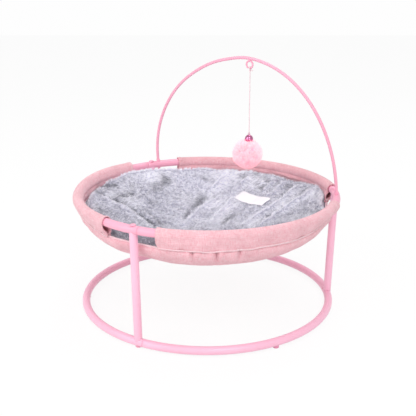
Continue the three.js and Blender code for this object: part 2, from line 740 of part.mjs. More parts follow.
// The frame: three equal thirds, each with its arcs, leg, fasteners and glide, and the sleeves
for (let i = 0; i < legCount; i++) {
  const third = new THREE.Group();
  third.rotation.z = i * sector;
  part.add(third);
  const number = i + 1;
  const bolts = (along) => boltDrill(along, 0).add(boltDrill(along, sector));
  const baseArc = ringArc(baseRingRadius, baseRingZ).subtract(bolts(0)).subtract(stemDrill());
  piece(`base_ring_arc_${number}`, surface(baseArc), paintedSteel, third);
  let upperArc = ringArc(upperRingRadius, upperRingZ).subtract(bolts(legLength));
  if (i === 0) upperArc = upperArc.subtract(archDrill(-1, 0));
  if (i === legCount - 1) upperArc = upperArc.subtract(archDrill(1, i * sector));
  piece(`upper_ring_arc_${number}`, surface(upperArc), paintedSteel, third);
  piece(`leg_${number}`, surface(legBody()), paintedSteel, third);
  piece(`sleeve_${number}`, sleeveBody(sleeveEndAngles[i]), pinkFabric);
  const glideStand = new THREE.Group();
  glideStand.rotation.z = sector / 2;
  third.add(glideStand);
  piece(`foot_glide_${number}`, surface(glideBody()), glidePlastic, glideStand);

  const legStand = new THREE.Group();
  legStand.applyMatrix4(legFrame);
  third.add(legStand);
  const setback = tubeRadius + seatGap + plugSetback;
  const lowerPlug = piece(`leg_${number}_lower_plug`, plugBody(), platedSteel, legStand);
  lowerPlug.position.z = setback;
  const upperPlug = piece(`leg_${number}_upper_plug`, plugBody(), platedSteel, legStand);
  upperPlug.position.z = legLength - setback - plugLength;
  const upperBolt = piece(`upper_bolt_${number}`, boltBody(), paintedSteel, legStand);
  upperBolt.position.z = legLength + tubeRadius + seatGap;
  const lowerBolt = piece(`lower_bolt_${number}`, boltBody(), paintedSteel, legStand);
  lowerBolt.position.z = -(tubeRadius + seatGap);
  lowerBolt.rotation.x = Math.PI;
}

piece("toy_arch", surface(archRod().add(archEar(-1)).add(archEar(1))), paintedSteel, archPlane);
piece("toy_eye", surface(eyeBody()), paintedSteel, toyStand);
piece("string_loop", surface(stringLoopBody()), stringFibre, toyStand);

const stringTop = knotPlace.z - knotRadius - seatGap;
const stringEnd = bellPlace.z + hangerTop + seatGap;
const stringRoute = new THREE.LineCurve3(
  new THREE.Vector3(knotPlace.x, 0, stringTop),
  new THREE.Vector3(knotPlace.x, 0, stringEnd),
);
const stringSteps = Math.round((stringTop - stringEnd) / (stringStepDiameters * stringDiameter));
piece("toy_string", bar(stringRoute, stringDiameter / 2, stringSides, stringSteps), stringFibre, toyStand);

const bellStand = new THREE.Group();
bellStand.position.copy(bellPlace);
toyStand.add(bellStand);
piece("bell_shell", surface(bellBody()), bellMetal, bellStand);
const pelletBall = new THREE.IcosahedronGeometry(pelletDiameter / 2, pelletDetail);
const pellet = piece("bell_pellet", pelletBall, platedSteel, bellStand);
pellet.position.z = -(bellRadius - bellWall - pelletDiameter / 2 - 2 * seatGap);
const pompom = piece("pompom", surface(pompomBody()), pompomFluff, bellStand);
pompom.position.z = pompomSink - bellRadius - pompomDiameter / 2;

piece("hammock_bowl", bowlBody(), pinkFabric);
piece("plush_pad", padBody(), greyPlush);
piece("pad_label", labelBody(), labelCloth);

export default part;
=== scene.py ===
"""A raised cat bed: painted ring frame, linen bowl and sleeves, plush pad, wire arch with a toy."""
import math

import bpy
import numpy as np
from mathutils import Matrix, Vector


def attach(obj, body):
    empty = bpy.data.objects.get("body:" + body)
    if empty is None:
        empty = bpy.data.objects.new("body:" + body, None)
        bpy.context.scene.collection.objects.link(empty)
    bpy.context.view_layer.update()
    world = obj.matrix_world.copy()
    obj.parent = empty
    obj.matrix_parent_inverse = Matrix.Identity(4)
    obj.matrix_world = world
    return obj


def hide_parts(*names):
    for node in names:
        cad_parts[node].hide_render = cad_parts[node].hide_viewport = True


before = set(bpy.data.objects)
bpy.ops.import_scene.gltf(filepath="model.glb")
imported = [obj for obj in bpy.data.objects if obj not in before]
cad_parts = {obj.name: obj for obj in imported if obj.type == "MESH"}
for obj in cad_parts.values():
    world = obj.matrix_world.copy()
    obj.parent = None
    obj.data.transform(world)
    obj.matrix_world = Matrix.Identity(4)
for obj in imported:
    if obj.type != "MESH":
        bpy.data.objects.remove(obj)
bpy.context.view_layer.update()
rng = np.random.default_rng(7)

MM = 0.001
TAU = 2 * math.pi
SECTOR = TAU / 3

# Sizes of the part, in millimetres
# Rings: three arcs each, with a lap and a seam between them
TUBE = 7.5
BASE_R, UPPER_R = 240.0, 245.0
BASE_Z, UPPER_Z = 10.7, 219.7
ARC_LAP, ARC_SEAM, ARC_LIP, ARC_TURNED_IN = 11.0, 0.5, 1.2, 0.5

# Legs, bolts and glides; profiles are pairs of radius and height
LEG_R, LEG_GAP = 7.2, 0.15
BOLT_GAP = 0.1
BOLT_DOME = [
    (0, -0.2), (5.3, -0.2), (5.3, 0.9), (5.0, 1.35), (4.3, 1.9),
    (3.2, 2.3), (1.7, 2.55), (0.7, 2.6), (0, 2.6),
]
GLIDE_BUTTON = [(0, 0), (4.7, 0), (5.2, 0.25), (5.5, 0.8), (5.5, 4.6), (5.2, 5.4), (0, 5.4)]

# Sleeves: their ends round the bed in degrees, the seam to the bowl, and how far it is drawn in
SLEEVE_ENDS = [(5.5, 105.5), (132.5, 225.5), (250.5, 340.5)]
SLEEVE_R, SLEEVE_CLOTH, SLEEVE_DIP = 9.8, 1.2, math.radians(15)
SLEEVE_SLACK, SLACK_TILT = 5.0, math.radians(60)
INNER_WRAP, INNER_BULGE, OUTER_BULGE = math.radians(48), 3.6, 1.1
SEAM_R, SEAM_DROP, SEAM_HALF, SEAM_HALF_MIN, SEAM_FOLD = 247.0, 25.0, 1.5, 0.4, 4.0
LEG_PINCH, LEG_PINCH_ANGLE = 14.0, math.radians(17)
RIGHT_DRAW, LEFT_DRAW = 12.0, 9.5
HEM_WIDE, HEM_STITCH = 6.5, 5.0
STITCH, STITCH_PITCH, STITCH_HALF, STITCH_RISE, STITCH_FROM_EDGE = 2.2, 3.4, 0.28, 0.42, 1.5
HEM_THREAD, SEAM_THREAD = 0.1, 0.12
EDGE_OUT, EDGE_DROP, EDGE_SIZE = 1.9, 0.4, 1.75
ROLL_IN, ROLL_RISE, ROLL_SIZE = 3.1, 0.8, 2.5
RIM_RISE, RIM_SIZE, RIM_LAP = 0.2, 1.7, 0.012

# Bowl and pad
BOWL_DEPTH, BOWL_CLOTH, BOWL_CUT_R = 74.5, 2.0, 275.0
BOWL_OUT, BOWL_BELOW, GAP_SAG = 1.3, 0.2, 4.0
PAD_CROWN_R, PAD_EDGE_R, PAD_MIDDLE = 224.0, 234.0, -62.0
PAD_SINK, PAD_IN, PAD_LIP, PAD_TUCK, PAD_CLEAR = 5.0, 3.0, 9.0, 2.0, 4.0
PILE_COUNT, PILE_LONG, PILE_WIDE, PILE_ROOT = 270000, 8.8, 0.7, 0.4
TUFT_CELL, TUFT_GRID = 2.9, 184
LABEL_X, LABEL_Y, LABEL_TURN = 91.8, 88.9, math.radians(-43)
LABEL_LONG, LABEL_WIDE, LABEL_CLOTH, LABEL_SEWN, LABEL_RISE = 74.0, 29.5, 0.8, 4.0, 5.2
LABEL_BARE = (36.0, 13.5)

# Arch with its tips and pressed ears, and the eye welded under it
ARCH_MIDDLE, ARCH_FOOT = math.radians(54), math.radians(62)
ARCH_HALF, ARCH_STRAIGHT, ARCH_RISE, ARCH_SWAY = UPPER_R * math.sin(ARCH_FOOT), 11.0, 240.7, 0.1
ARCH_LEAN, ARCH_DIP, ARCH_ROD = math.radians(7.5), 2.6, 3.0
TIP_HEIGHTS, TIP_SIZES, FOOT_START = [-12, -11.4, -10.5], [1.9, 2.7], -8
EAR_LOW, EAR_HIGH, EAR_ROD, EAR_OUT, EAR_IN = 7.4, 13.1, 2.9, 1.9, 0.9
EYE_OFFSET, EYE_R, EYE_WIRE = 38.7, 6.8, 1.7
EYE_TIP_SIZES, EYE_TURN = [1.1, 1.5], (2, 336)
WELD = [(0, -2.2), (1.4, -2.0), (2.6, -1.1), (3.1, 0), (2.6, 1.1), (1.4, 2.0), (0, 2.2)]
WELD_RISE = 1.2

# String with its loop, knot and tail
HOOK_ANGLE = math.radians(11)
STRING_R, LOOP_GAP = 0.9, 0.3
KNOT_R, KNOT_YARN, KNOT_WIDE, KNOT_HIGH, KNOT_END = 2.5, 0.95, 1.35, 1.25, 2.8
TAIL = [(0.6, 0.5, 0.3), (2.1, 1.3, 0.9), (3.4, 1.9, 0.5), (4.6, 2.2, -0.5)]
TAIL_SIZES = [0.8, 0.75, 0.7, 0.75]

# Bell with its slots, hanger and tie, and the pom-pom
BELL_DROP, BELL_R, BELL_WALL, BELL_SEAM = 131.0, 8.0, 0.8, 0.35
SLOT_REACH, SLOT_HALF, SLOT_LOW, SLOT_HIGH, SLOT_TURN = 5.6, 0.85, -11, -1.8, 0.5
HANGER_R, HANGER_WIRE, HANGER_RISE = 2, 0.55, 1.45
TIE_WIDE, TIE_HIGH, TIE_YARN, TIE_RISE, TIE_TOP = 1.3, 1.25, 0.7, 4.0, 4.3
POMPOM_R, POMPOM_SINK, POMPOM_ASIDE = 28.0, 6.5, 2.6
CORE_SINK, FLUFF_SINK, FLUFF_LONG, FLUFF_WIDE = 7.6, 8.0, 10.5, 0.42
FLUFF_COUNT, FLUFF_TUFTS, FLUFF_SHORTER = 52000, 700, 4.2

# Camera of the photograph, fitted to the rings and legs
camera_data = bpy.data.cameras.new("camera")
camera_data.sensor_width = 36
camera_data.lens = 64.81
camera = bpy.data.objects.new("camera", camera_data)
camera.location = (0.0013, -1.37965, 0.63435)
camera.rotation_euler = (math.radians(72.1), 0, 0)
scene = bpy.context.scene
scene.collection.objects.link(camera)
scene.camera = camera


# Small helpers

def smooth(t):
    t = np.clip(t, 0, 1)
    return t * t * (3 - 2 * t)


def link(obj):
    scene.collection.objects.link(obj)
    return obj


def circle(count):
    """Angles of so many points round a circle."""
    return np.arange(count) / count * TAU


def mesh_piece(name, points, faces, triangles=(), uv=None):
    """A mesh from points in millimetres, of faces that are alike and, where given, triangles."""
    corners = np.concatenate([np.ravel(faces), np.ravel(triangles)]).astype(np.int32)
    sizes = np.concatenate([np.full(len(faces), faces.shape[1]), np.full(len(triangles), 3)])
    starts = np.concatenate([[0], np.cumsum(sizes)[:-1]]).astype(np.int32)
    me = bpy.data.meshes.new(name)
    me.vertices.add(len(points))
    me.vertices.foreach_set("co", (np.asarray(points, float) * MM).astype(np.float32).ravel())
    me.loops.add(len(corners))
    me.loops.foreach_set("vertex_index", corners)
    me.polygons.add(len(sizes))
    me.polygons.foreach_set("loop_start", starts)
    me.polygons.foreach_set("use_smooth", np.full(len(sizes), True))
    if uv is not None:
        layer = me.uv_layers.new(name="weave")
        layer.data.foreach_set("uv", np.asarray(uv, np.float32)[corners].ravel())
    me.update(calc_edges=True)
    me.validate()
    return link(bpy.data.objects.new(name, me))


def grid_faces(rows, cols, wrap=False, flip=False):
    """Quads of a grid of rows by cols points; wrap joins the last column to the first."""
    i = np.arange(rows - 1)[:, None] * cols
    j = np.arange(cols if wrap else cols - 1)[None, :]
    k = (j + 1) % cols
    a, b, c, d = i + j, i + k, i + cols + k, i + cols + j
    quads = np.stack([a, b, c, d], axis=-1).reshape(-1, 4)
    return quads[:, ::-1] if flip else quads
def capped_faces(rows, cols, flip=False):
    """Faces of a wrapped grid, and the fans that close its ends round the two points that follow it."""
    j = np.arange(cols)
    k = (j + 1) % cols
    last = (rows - 1) * cols
    low = [np.full(cols, rows * cols), k, j]
    high = [np.full(cols, rows * cols + 1), last + j, last + k]
    order = [0, 2, 1] if flip else [0, 1, 2]
    fans = np.vstack([np.stack(low, -1), np.stack(high, -1)])[:, order]
    return grid_faces(rows, cols, wrap=True, flip=flip), fans


def cloth_faces(rows, cols):
    """Faces of a cloth whose rows run out on one skin and back on the other, closed at both ends."""
    n = 2 * cols
    j = np.arange(cols - 1)
    low = np.stack([j, n - 1 - j, n - 2 - j, j + 1], -1)
    high = np.roll(low[:, ::-1], 1, axis=1) + (rows - 1) * n
    return np.vstack([grid_faces(rows, n, wrap=True), low, high])

def frames_along(path, closed=False):
    """Side and up vectors along a path, turned as little as can be."""
    path = np.asarray(path, float)
    ahead = np.roll(path, -1, 0) if closed else np.vstack([path[1:], 2 * path[-1] - path[-2]])
    behind = np.roll(path, 1, 0) if closed else np.vstack([2 * path[0] - path[1], path[:-1]])
    tangent = ahead - behind
    tangent /= np.linalg.norm(tangent, axis=1)[:, None]
    start = np.array([0, 0, 1.0]) if abs(tangent[0][2]) < 0.9 else np.array([1.0, 0, 0])
    side = np.cross(tangent[0], start)
    side /= np.linalg.norm(side)
    sides = [side]
    for t in tangent[1:]:
        side = side - t * (side @ t)
        side = side / np.linalg.norm(side)
        sides.append(side)
    sides = np.array(sides)
    return sides, np.cross(tangent, sides)


def tapered(count, size, tips):
    """One size for each point of a path, with the given sizes at both its ends."""
    sizes = np.full(count, size)
    for i, tip in enumerate(tips):
        sizes[[i, -1 - i]] = tip
    return sizes


def sweep(name, path, radius, sides=20, closed=False, shape=None):
    """A tube along a path. radius is a number or one per point; shape(turn, along) scales it."""
    path = np.asarray(path, float)
    side, up = frames_along(path, closed)
    radius = np.broadcast_to(np.asarray(radius, float), (len(path),))
    turn = circle(sides)
    along = np.concatenate([[0], np.cumsum(np.linalg.norm(np.diff(path, axis=0), axis=1))])
    size = radius[:, None] * (1 if shape is None else shape(turn[None, :], along[:, None]))
    points = path[:, None, :] + size[..., None] * (
        np.cos(turn)[:, None] * side[:, None, :] + np.sin(turn)[:, None] * up[:, None, :]
    )
    rows = len(path) + closed
    uv = np.stack(np.meshgrid(turn * radius.mean(), np.resize(along, rows)), -1).reshape(-1, 2)
    if closed:
        points = np.concatenate([points, points[:1]]).reshape(-1, 3)
        return mesh_piece(name, points, grid_faces(rows, sides, wrap=True, flip=True), uv=uv)
    points = np.vstack([points.reshape(-1, 3), path[0], path[-1]])
    return mesh_piece(name, points, *capped_faces(rows, sides, flip=True), np.vstack([uv, uv[:1], uv[-1:]]))


def xyz(x, y, z):
    """Points from their coordinates, each of them an array or a number."""
    return np.stack(np.broadcast_arrays(x, y, z), -1)


def around(azimuth, radius, height):
    return xyz(radius * np.cos(azimuth), radius * np.sin(azimuth), height)


def half_round(count):
    """Radius and height of a globe of radius 1, from its foot to its top."""
    angle = np.linspace(-math.pi / 2, math.pi / 2, count)
    return np.stack([np.cos(angle), np.sin(angle)], -1)


def stray(scale, *size):
    return rng.normal(scale=scale, size=size)


def lathe(name, profile, place, axis, sides=32):
    """A turned piece: radius and height pairs, in millimetres, about an axis through a place."""
    profile = np.asarray(profile, float)
    points = around(circle(sides), profile[:, :1], profile[:, 1:]).reshape(-1, 3)
    rotation = np.array(Vector(axis).normalized().to_track_quat("Z", "Y").to_matrix())
    points = points @ rotation.T + place
    return mesh_piece(name, points, grid_faces(len(profile), sides, wrap=True))


def paint(obj, material, body="bed", replaces=()):
    obj.data.materials.clear()
    obj.data.materials.append(material)
    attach(obj, body)
    if replaces:
        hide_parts(*replaces)


def noise2(x, y, seed, scale):
    """Smooth noise from a few waves, about -1 to 1, the same each run."""
    r = np.random.default_rng(seed)
    total = np.zeros(np.broadcast(x, y).shape)
    for _ in range(7):
        angle, size, phase = r.uniform(0, TAU), r.uniform(0.6, 1.7), r.uniform(0, TAU)
        total += np.sin((x * np.cos(angle) + y * np.sin(angle)) * size / scale * TAU + phase)
    return total / 3.2


# Materials

class Shader:
    """A node tree, with short ways to add nodes and join them."""

    def __init__(self, owner, empty=False):
        owner.use_nodes = True
        self.nodes, self.links = owner.node_tree.nodes, owner.node_tree.links
        if empty:
            self.nodes.clear()

    def feed(self, node, inputs):
        """Give sockets, by name or number, a number, a colour, a node or one of its outputs."""
        for key, value in inputs.items():
            socket = node.inputs[key]
            if isinstance(value, bpy.types.Node):
                value = value.outputs[0]
            if isinstance(value, bpy.types.NodeSocket):
                self.links.new(value, socket)
            elif socket.type == "RGBA":
                socket.default_value = (*value, 1)
            else:
                socket.default_value = value

    def add(self, kind, inputs=None, **settings):
        node = self.nodes.new("ShaderNode" + kind)
        for key, value in settings.items():
            setattr(node, key, value)
        self.feed(node, inputs or {})
        return node

    def maths(self, operation, *values):
        return self.add("Math", dict(enumerate(values)), operation=operation)

    def noise(self, place, scale, detail, **more):
        return self.add("TexNoise", {"Vector": place, "Scale": scale, "Detail": detail, **more})

    def ramp(self, factor, stops):
        node = self.add("ValToRGB", {0: factor})
        elements = node.color_ramp.elements
        while len(elements) < len(stops):
            elements.new(0.5)
        for element, (place, colour) in zip(elements, stops):
            element.position = place
            element.color = (*colour, 1)
        return node

    def multiply(self, factor, a, b):
        node = self.add("Mix", {0: factor, 6: a, 7: b}, data_type="RGBA", blend_type="MULTIPLY")
        return node.outputs[2]

    def spread(self, factor, low, high):
        return self.add("MapRange", {"Value": factor, "To Min": low, "To Max": high})

    def bump(self, height, strength, distance):
        return self.add("Bump", {"Height": height, "Strength": strength, "Distance": distance})


def new_material(name):
    material = bpy.data.materials.new(name)
    shader = Shader(material)
    return material, shader, shader.nodes["Principled BSDF"]


def srgb(r, g, b):
    """Linear colour of an sRGB colour given from 0 to 255."""
    channels = []
    for c in (r, g, b):
        c /= 255
        channels.append(c / 12.92 if c <= 0.04045 else ((c + 0.055) / 1.055) ** 2.4)
    return tuple(channels)


def paint_material(name, colour, shade, roughness=0.36):
    """Glossy powder paint on steel: a clear top coat, faint orange peel and slight tone changes."""
    material, s, bsdf = new_material(name)
    place = s.add("TexCoord").outputs["Object"]
    broad = s.noise(place, 9.0, 3.0)
    s.feed(bsdf, {
        "Base Color": s.ramp(broad, [(0.3, shade), (0.7, colour)]),
        "Roughness": s.spread(broad, roughness - 0.05, roughness + 0.08),
        "Normal": s.bump(s.noise(place, 420.0, 2.0), 0.02, 0.0003),
        "Coat Weight": 0.15, "Coat Roughness": 0.12,
    })
    return material


def linen_material(name, light, mid, dark, pitch=1.25):
    """Plain-woven linen: crossing threads, each with its own tone, slubs and a soft sheen."""
    material, s, bsdf = new_material(name)
    uv = s.add("UVMap", uv_map="weave").outputs[0]
    place = s.add("SeparateXYZ", {0: uv}).outputs
    warp, weft = (s.maths("SINE", s.maths("MULTIPLY", place[c], math.pi / pitch)) for c in (0, 1))
    over = s.maths("GREATER_THAN", s.maths("MULTIPLY", warp, weft), 0.0)
    threads = []
    for stretch in ((0.09, 0.75, 1.0), (0.75, 0.09, 1.0)):
        mapped = s.add("Mapping", {"Vector": uv, "Scale": stretch})
        threads.append(s.noise(mapped, 1.0, 3.0, Roughness=0.6))
    thread = s.add("Mix", {0: over, 2: threads[0], 3: threads[1]})
    tone = s.ramp(thread, [(0.33, dark), (0.5, mid), (0.66, light)])
    cloudy = s.ramp(s.noise(uv, 0.035, 3.0), [(0.3, (0.9, 0.88, 0.88)), (0.7, (1, 1, 1))])
    high = s.add("Mix", {0: over, 2: s.maths("ABSOLUTE", warp), 3: s.maths("ABSOLUTE", weft)})
    height = s.maths("ADD", high, s.maths("MULTIPLY", thread, 1.5))
    s.feed(bsdf, {
        "Base Color": s.multiply(1.0, tone, cloudy), "Normal": s.bump(height, 0.5, 0.0005),
        "Roughness": 0.9, "Sheen Weight": 0.25, "Sheen Roughness": 0.5,
    })
    return material


def strand_material(name, root, middle, tip, deep, lit):
    """Fur strands: darker at the root, pale at the tip, each strand and tuft with its own tone; painted
    shade.
    """
    material, s, bsdf = new_material(name)
    strand = s.add("Attribute", attribute_name="strand").outputs["Color"]
    along, tone, valley = s.add("SeparateColor", {0: strand}).outputs
    colour = s.ramp(along, [(0.0, root), (0.45, middle), (1.0, tip)])
    varied = s.ramp(tone, [(0.0, (0.4, 0.4, 0.43)), (0.62, (1, 1, 1))])
    # Painted shade: the third channel darkens the strand towards the deep colour
    colour = s.multiply(valley, s.multiply(1.0, colour, varied), deep)
    # The emission is light passed on from strand to strand, more often than the render follows it
    s.feed(bsdf, {
        "Base Color": colour, "Roughness": 0.85, "Specular IOR Level": 0.2, "Sheen Weight": 0.7,
        "Sheen Roughness": 0.5, "Emission Color": colour, "Emission Strength": lit,
    })
    # Fine fibres let some of the light through
    through = s.add("BsdfTranslucent", {"Color": colour})
    s.feed(s.nodes["Material Output"], {0: s.add("MixShader", {0: 0.15, 1: bsdf, 2: through})})
    return material


def cloth_material(name, colour, roughness=0.8, scale=900.0, strength=0.3):
    """Fine cloth or fibre: a close grain of threads on an even colour."""
    material, s, bsdf = new_material(name)
    grain = s.noise(s.add("TexCoord").outputs["Object"], scale, 3.0)
    darker = tuple(c * 0.86 for c in colour)
    s.feed(bsdf, {
        "Base Color": s.ramp(grain, [(0.3, darker), (0.65, colour)]),
        "Normal": s.bump(grain, strength, 0.0003), "Roughness": roughness,
    })
    return material


def metal_material(name, colour, roughness):
    """Plated metal with faint smears in its polish."""
    material, s, bsdf = new_material(name)
    smear = s.noise(s.add("TexCoord").outputs["Object"], 160.0, 3.0)
    paler = tuple(min(1, c * 1.1) for c in colour)
    s.feed(bsdf, {
        "Base Color": s.ramp(smear, [(0.35, colour), (0.65, paler)]),
        "Roughness": s.spread(smear, roughness * 0.6, roughness * 1.6), "Metallic": 1.0,
    })
    return material


pink_paint = paint_material("pink_paint", srgb(255, 199, 222), srgb(254, 192, 215))
# A deeper copy of the pink paint: painted shade on the upper ring, bolt heads, arch, ears, eye and weld
shaded_paint = paint_material("shaded_paint", srgb(252, 180, 203), srgb(249, 172, 196))
linen = linen_material("linen", srgb(254, 219, 225), srgb(251, 197, 206), srgb(238, 160, 174))
# A darker copy of the linen for the back sleeve: painted shade
linen_shaded = linen_material("linen_shaded", srgb(246, 208, 213), srgb(243, 186, 194), srgb(229, 151, 163))
# A paler copy of the linen for the sewn edge and the rim hem: painted highlight
linen_highlit = linen_material("linen_highlit", srgb(255, 238, 241), srgb(254, 220, 226), srgb(244, 186, 198))
thread_pink = cloth_material("thread_pink", srgb(250, 205, 212), 0.7, 2500.0)
plush_skin = cloth_material("plush_skin", srgb(205, 205, 218), 0.95, 500.0)
plush_fur = strand_material(
    "plush_fur", srgb(213, 212, 224), srgb(239, 238, 245), srgb(253, 252, 255), srgb(140, 140, 153), 0.19
)
pompom_fur = strand_material(
    "pompom_fur", srgb(252, 200, 218), srgb(255, 218, 226), srgb(255, 228, 232), srgb(246, 190, 205), 0.32
)
pompom_core = cloth_material("pompom_core", srgb(254, 210, 226), 0.95, 700.0)
string_fibre = cloth_material("string_fibre", srgb(250, 224, 229), 0.75, 1800.0)
label_cloth = cloth_material("label_cloth", srgb(250, 247, 252), 0.55, 1500.0, 0.15)
bell_metal = metal_material("bell_metal", srgb(206, 126, 166), 0.11)
plated_metal = metal_material("plated_metal", srgb(205, 205, 208), 0.3)
glide_plastic = paint_material("glide_plastic", srgb(238, 160, 190), srgb(232, 150, 182), 0.5)


# Ring frame: rings in three arcs each, with swaged joints, legs, bolts and glides

def tube_arc(name, radius, height, start, end):
    """One arc of a ring tube, its two ends turned in a little."""
    lip = ARC_LIP / radius
    azimuth = np.concatenate([
        [start - lip * 0.1, start + lip * 0.4], np.linspace(start, end, 80)[1:-1], [end - lip * 0.4, end],
    ])
    sizes = tapered(len(azimuth), TUBE, [TUBE - ARC_TURNED_IN])
    return sweep(name, around(azimuth, radius, height), sizes, sides=40)


# The leg before it is turned to its place: both its ends follow the round of the rings
leg_length = math.hypot(UPPER_R - BASE_R, UPPER_Z - BASE_Z)
leg_lean = np.array(Matrix.Rotation(math.atan2(UPPER_R - BASE_R, UPPER_Z - BASE_Z), 3, "Y"))
leg_rows, leg_sides = 40, 48
leg_x, leg_y = LEG_R * np.cos(circle(leg_sides)), LEG_R * np.sin(circle(leg_sides))
saddle = np.sqrt((TUBE + LEG_GAP) ** 2 - leg_x ** 2)
leg_z = saddle + (leg_length - saddle - saddle) * np.linspace(0, 1, leg_rows)[:, None]
leg_skin = xyz(leg_x, leg_y, leg_z).reshape(-1, 3) @ leg_lean.T + [BASE_R, 0, BASE_Z]

for number in (1, 2, 3):
    turn = (number - 1) * SECTOR
    spin = np.array(Matrix.Rotation(turn, 3, "Z"))
    # The upper ring takes the deeper copy of the paint, painted shade
    for ring, radius, height, coat in (
        ("base", BASE_R, BASE_Z, pink_paint), ("upper", UPPER_R, UPPER_Z, shaded_paint),
    ):
        lap = ARC_LAP / radius
        start, end = turn + lap + ARC_SEAM / radius, turn + SECTOR + lap
        arc = tube_arc(f"{ring}_ring_arc_{number}_tube", radius, height, start, end)
        paint(arc, coat, replaces=[f"{ring}_ring_arc_{number}"])

    leg = mesh_piece(f"leg_{number}_tube", leg_skin @ spin.T, grid_faces(leg_rows, leg_sides, wrap=True))
    paint(leg, pink_paint, replaces=[f"leg_{number}"])

    # Domed bolt heads, above the upper ring and below the base ring
    axis = spin @ leg_lean @ [0, 0, 1.0]
    foot = spin @ [BASE_R, 0, BASE_Z]
    for where, place, way in (("upper", foot + axis * leg_length, axis), ("lower", foot, -axis)):
        # Bolt heads take the deeper paint, painted shade
        bolt = lathe(f"{where}_bolt_{number}_head", BOLT_DOME, place + way * (TUBE + BOLT_GAP), way)
        paint(bolt, shaded_paint, replaces=[f"{where}_bolt_{number}"])

    # Glide: a small plastic foot midway to the next leg
    place = spin @ around(SECTOR / 2, BASE_R, 0.0)
    glide = lathe(f"foot_glide_{number}_button", GLIDE_BUTTON, place, (0, 0, 1), 40)
    paint(glide, glide_plastic, replaces=[f"foot_glide_{number}"])


# Arch, eye, string, bell and pom-pom

arch_turn = np.array(Matrix.Rotation(ARCH_MIDDLE - math.pi / 2, 3, "Z"))
arch_lean = np.array(Matrix.Rotation(ARCH_LEAN, 3, "X"))
arch_middle = around(ARCH_MIDDLE, UPPER_R * math.cos(ARCH_FOOT), UPPER_Z)


def on_arch(points):
    return np.asarray(points, float) @ (arch_turn @ arch_lean).T + arch_middle


def arch_height(share):
    """Height of the rod over the chord, by how far along the half span it is, from -1 to 1."""
    dip = ARCH_DIP * smooth((0.17 - share) / 0.25) * smooth((share + 0.72) / 0.35)
    rise = ARCH_RISE * np.sqrt(np.maximum(0, 1 - share ** 2)) * (1 + ARCH_SWAY * share)
    return ARCH_STRAIGHT + rise - dip


bend = np.linspace(math.pi, 0, 161)
route = xyz(ARCH_HALF * np.cos(bend), 0, arch_height(np.cos(bend)))
foot_heights = np.concatenate([TIP_HEIGHTS, np.arange(FOOT_START, ARCH_STRAIGHT, 0.8)])
left_foot = xyz(-ARCH_HALF, 0, foot_heights)
rod_route = np.vstack([left_foot, route, left_foot[::-1] * [-1, 1, 1]])
# The rod, its ears, the eye and the weld take the deeper paint, painted shade
arch = sweep("toy_arch_rod", on_arch(rod_route), tapered(len(rod_route), ARCH_ROD, TIP_SIZES), sides=32)
paint(arch, shaded_paint, "arch", replaces=["toy_arch"])

# Pressed ears over the ring: the rod is squeezed flat there, so it stands out to both sides
ear_rows, ear_sides = 24, 36
for side, word in ((-1, "left"), (1, "right")):
    share = np.linspace(0, 1, ear_rows)[:, None]
    bulge = np.sin(share * math.pi) ** 0.6
    ear_x = side * ARCH_HALF + (EAR_ROD + EAR_OUT * bulge) * np.cos(circle(ear_sides))
    ear_y = (EAR_ROD - EAR_IN * bulge) * np.sin(circle(ear_sides))
    ear_z = EAR_LOW + (EAR_HIGH - EAR_LOW) * share
    ear_points = np.vstack([
        xyz(ear_x, ear_y, ear_z).reshape(-1, 3),
        [side * ARCH_HALF, 0, EAR_LOW], [side * ARCH_HALF, 0, EAR_HIGH],
    ])
    ear = mesh_piece(f"toy_arch_ear_{word}", on_arch(ear_points), *capped_faces(ear_rows, ear_sides))
    paint(ear, shaded_paint, "arch")

eye_share = EYE_OFFSET / ARCH_HALF
rod_point = on_arch([[EYE_OFFSET, 0, arch_height(eye_share)]])[0]
eye_centre = rod_point - [0, 0, ARCH_ROD + EYE_WIRE + EYE_R]


def by_eye(points):
    return np.asarray(points, float) @ arch_turn.T + eye_centre


eye_angle = np.radians(np.linspace(*EYE_TURN, 90))
eye_route = EYE_R * xyz(np.sin(eye_angle), 0, -np.cos(eye_angle))
eye = sweep("toy_eye_wire", by_eye(eye_route), tapered(90, EYE_WIRE, EYE_TIP_SIZES), sides=24)
paint(eye, shaded_paint, "arch", replaces=["toy_eye"])
nudge = 0.001
rise = arch_height(eye_share + nudge) - arch_height(eye_share - nudge)
slope = math.atan(rise / (2 * nudge * ARCH_HALF))
weld_axis = arch_turn @ [math.cos(slope), 0, math.sin(slope)]
weld = lathe("toy_eye_weld", WELD, eye_centre + [0, 0, EYE_R + WELD_RISE], weld_axis, 24)
paint(weld, shaded_paint, "arch")

hook = EYE_R * xyz(math.sin(HOOK_ANGLE), 0, -math.cos(HOOK_ANGLE))
loop_r = EYE_WIRE + LOOP_GAP + STRING_R
knot = hook - [0, 0, loop_r + KNOT_R - STRING_R]


def ply(turns_per_mm):
    """Two yarns laid round each other: the surface rises twice in each turn of the lay."""
    return lambda turn, along: 0.94 + 0.06 * np.abs(np.cos(turn + along * turns_per_mm * math.pi))


loop_angle = circle(48)
loop_tilt = np.array(Matrix.Rotation(-HOOK_ANGLE, 3, "Y"))
loop_route = loop_r * xyz(0, np.sin(loop_angle), np.cos(loop_angle)) @ loop_tilt.T
loop = sweep("string_loop_turn", by_eye(loop_route + hook), STRING_R, sides=16, closed=True, shape=ply(0.5))
paint(loop, string_fibre, "loop", replaces=["string_loop"])
knot_angle = circle(96)
knot_wide = KNOT_WIDE * (0.7 + 0.3 * np.cos(2 * knot_angle))
knot_route = around(3 * knot_angle, knot_wide, KNOT_HIGH * np.sin(2 * knot_angle))
knot_piece = sweep("string_knot", by_eye(knot_route + knot), KNOT_YARN, sides=12, closed=True)
paint(knot_piece, string_fibre, "loop")
tail = sweep("string_tail", by_eye(knot + np.array(TAIL)), TAIL_SIZES, sides=10)
paint(tail, string_fibre, "loop")

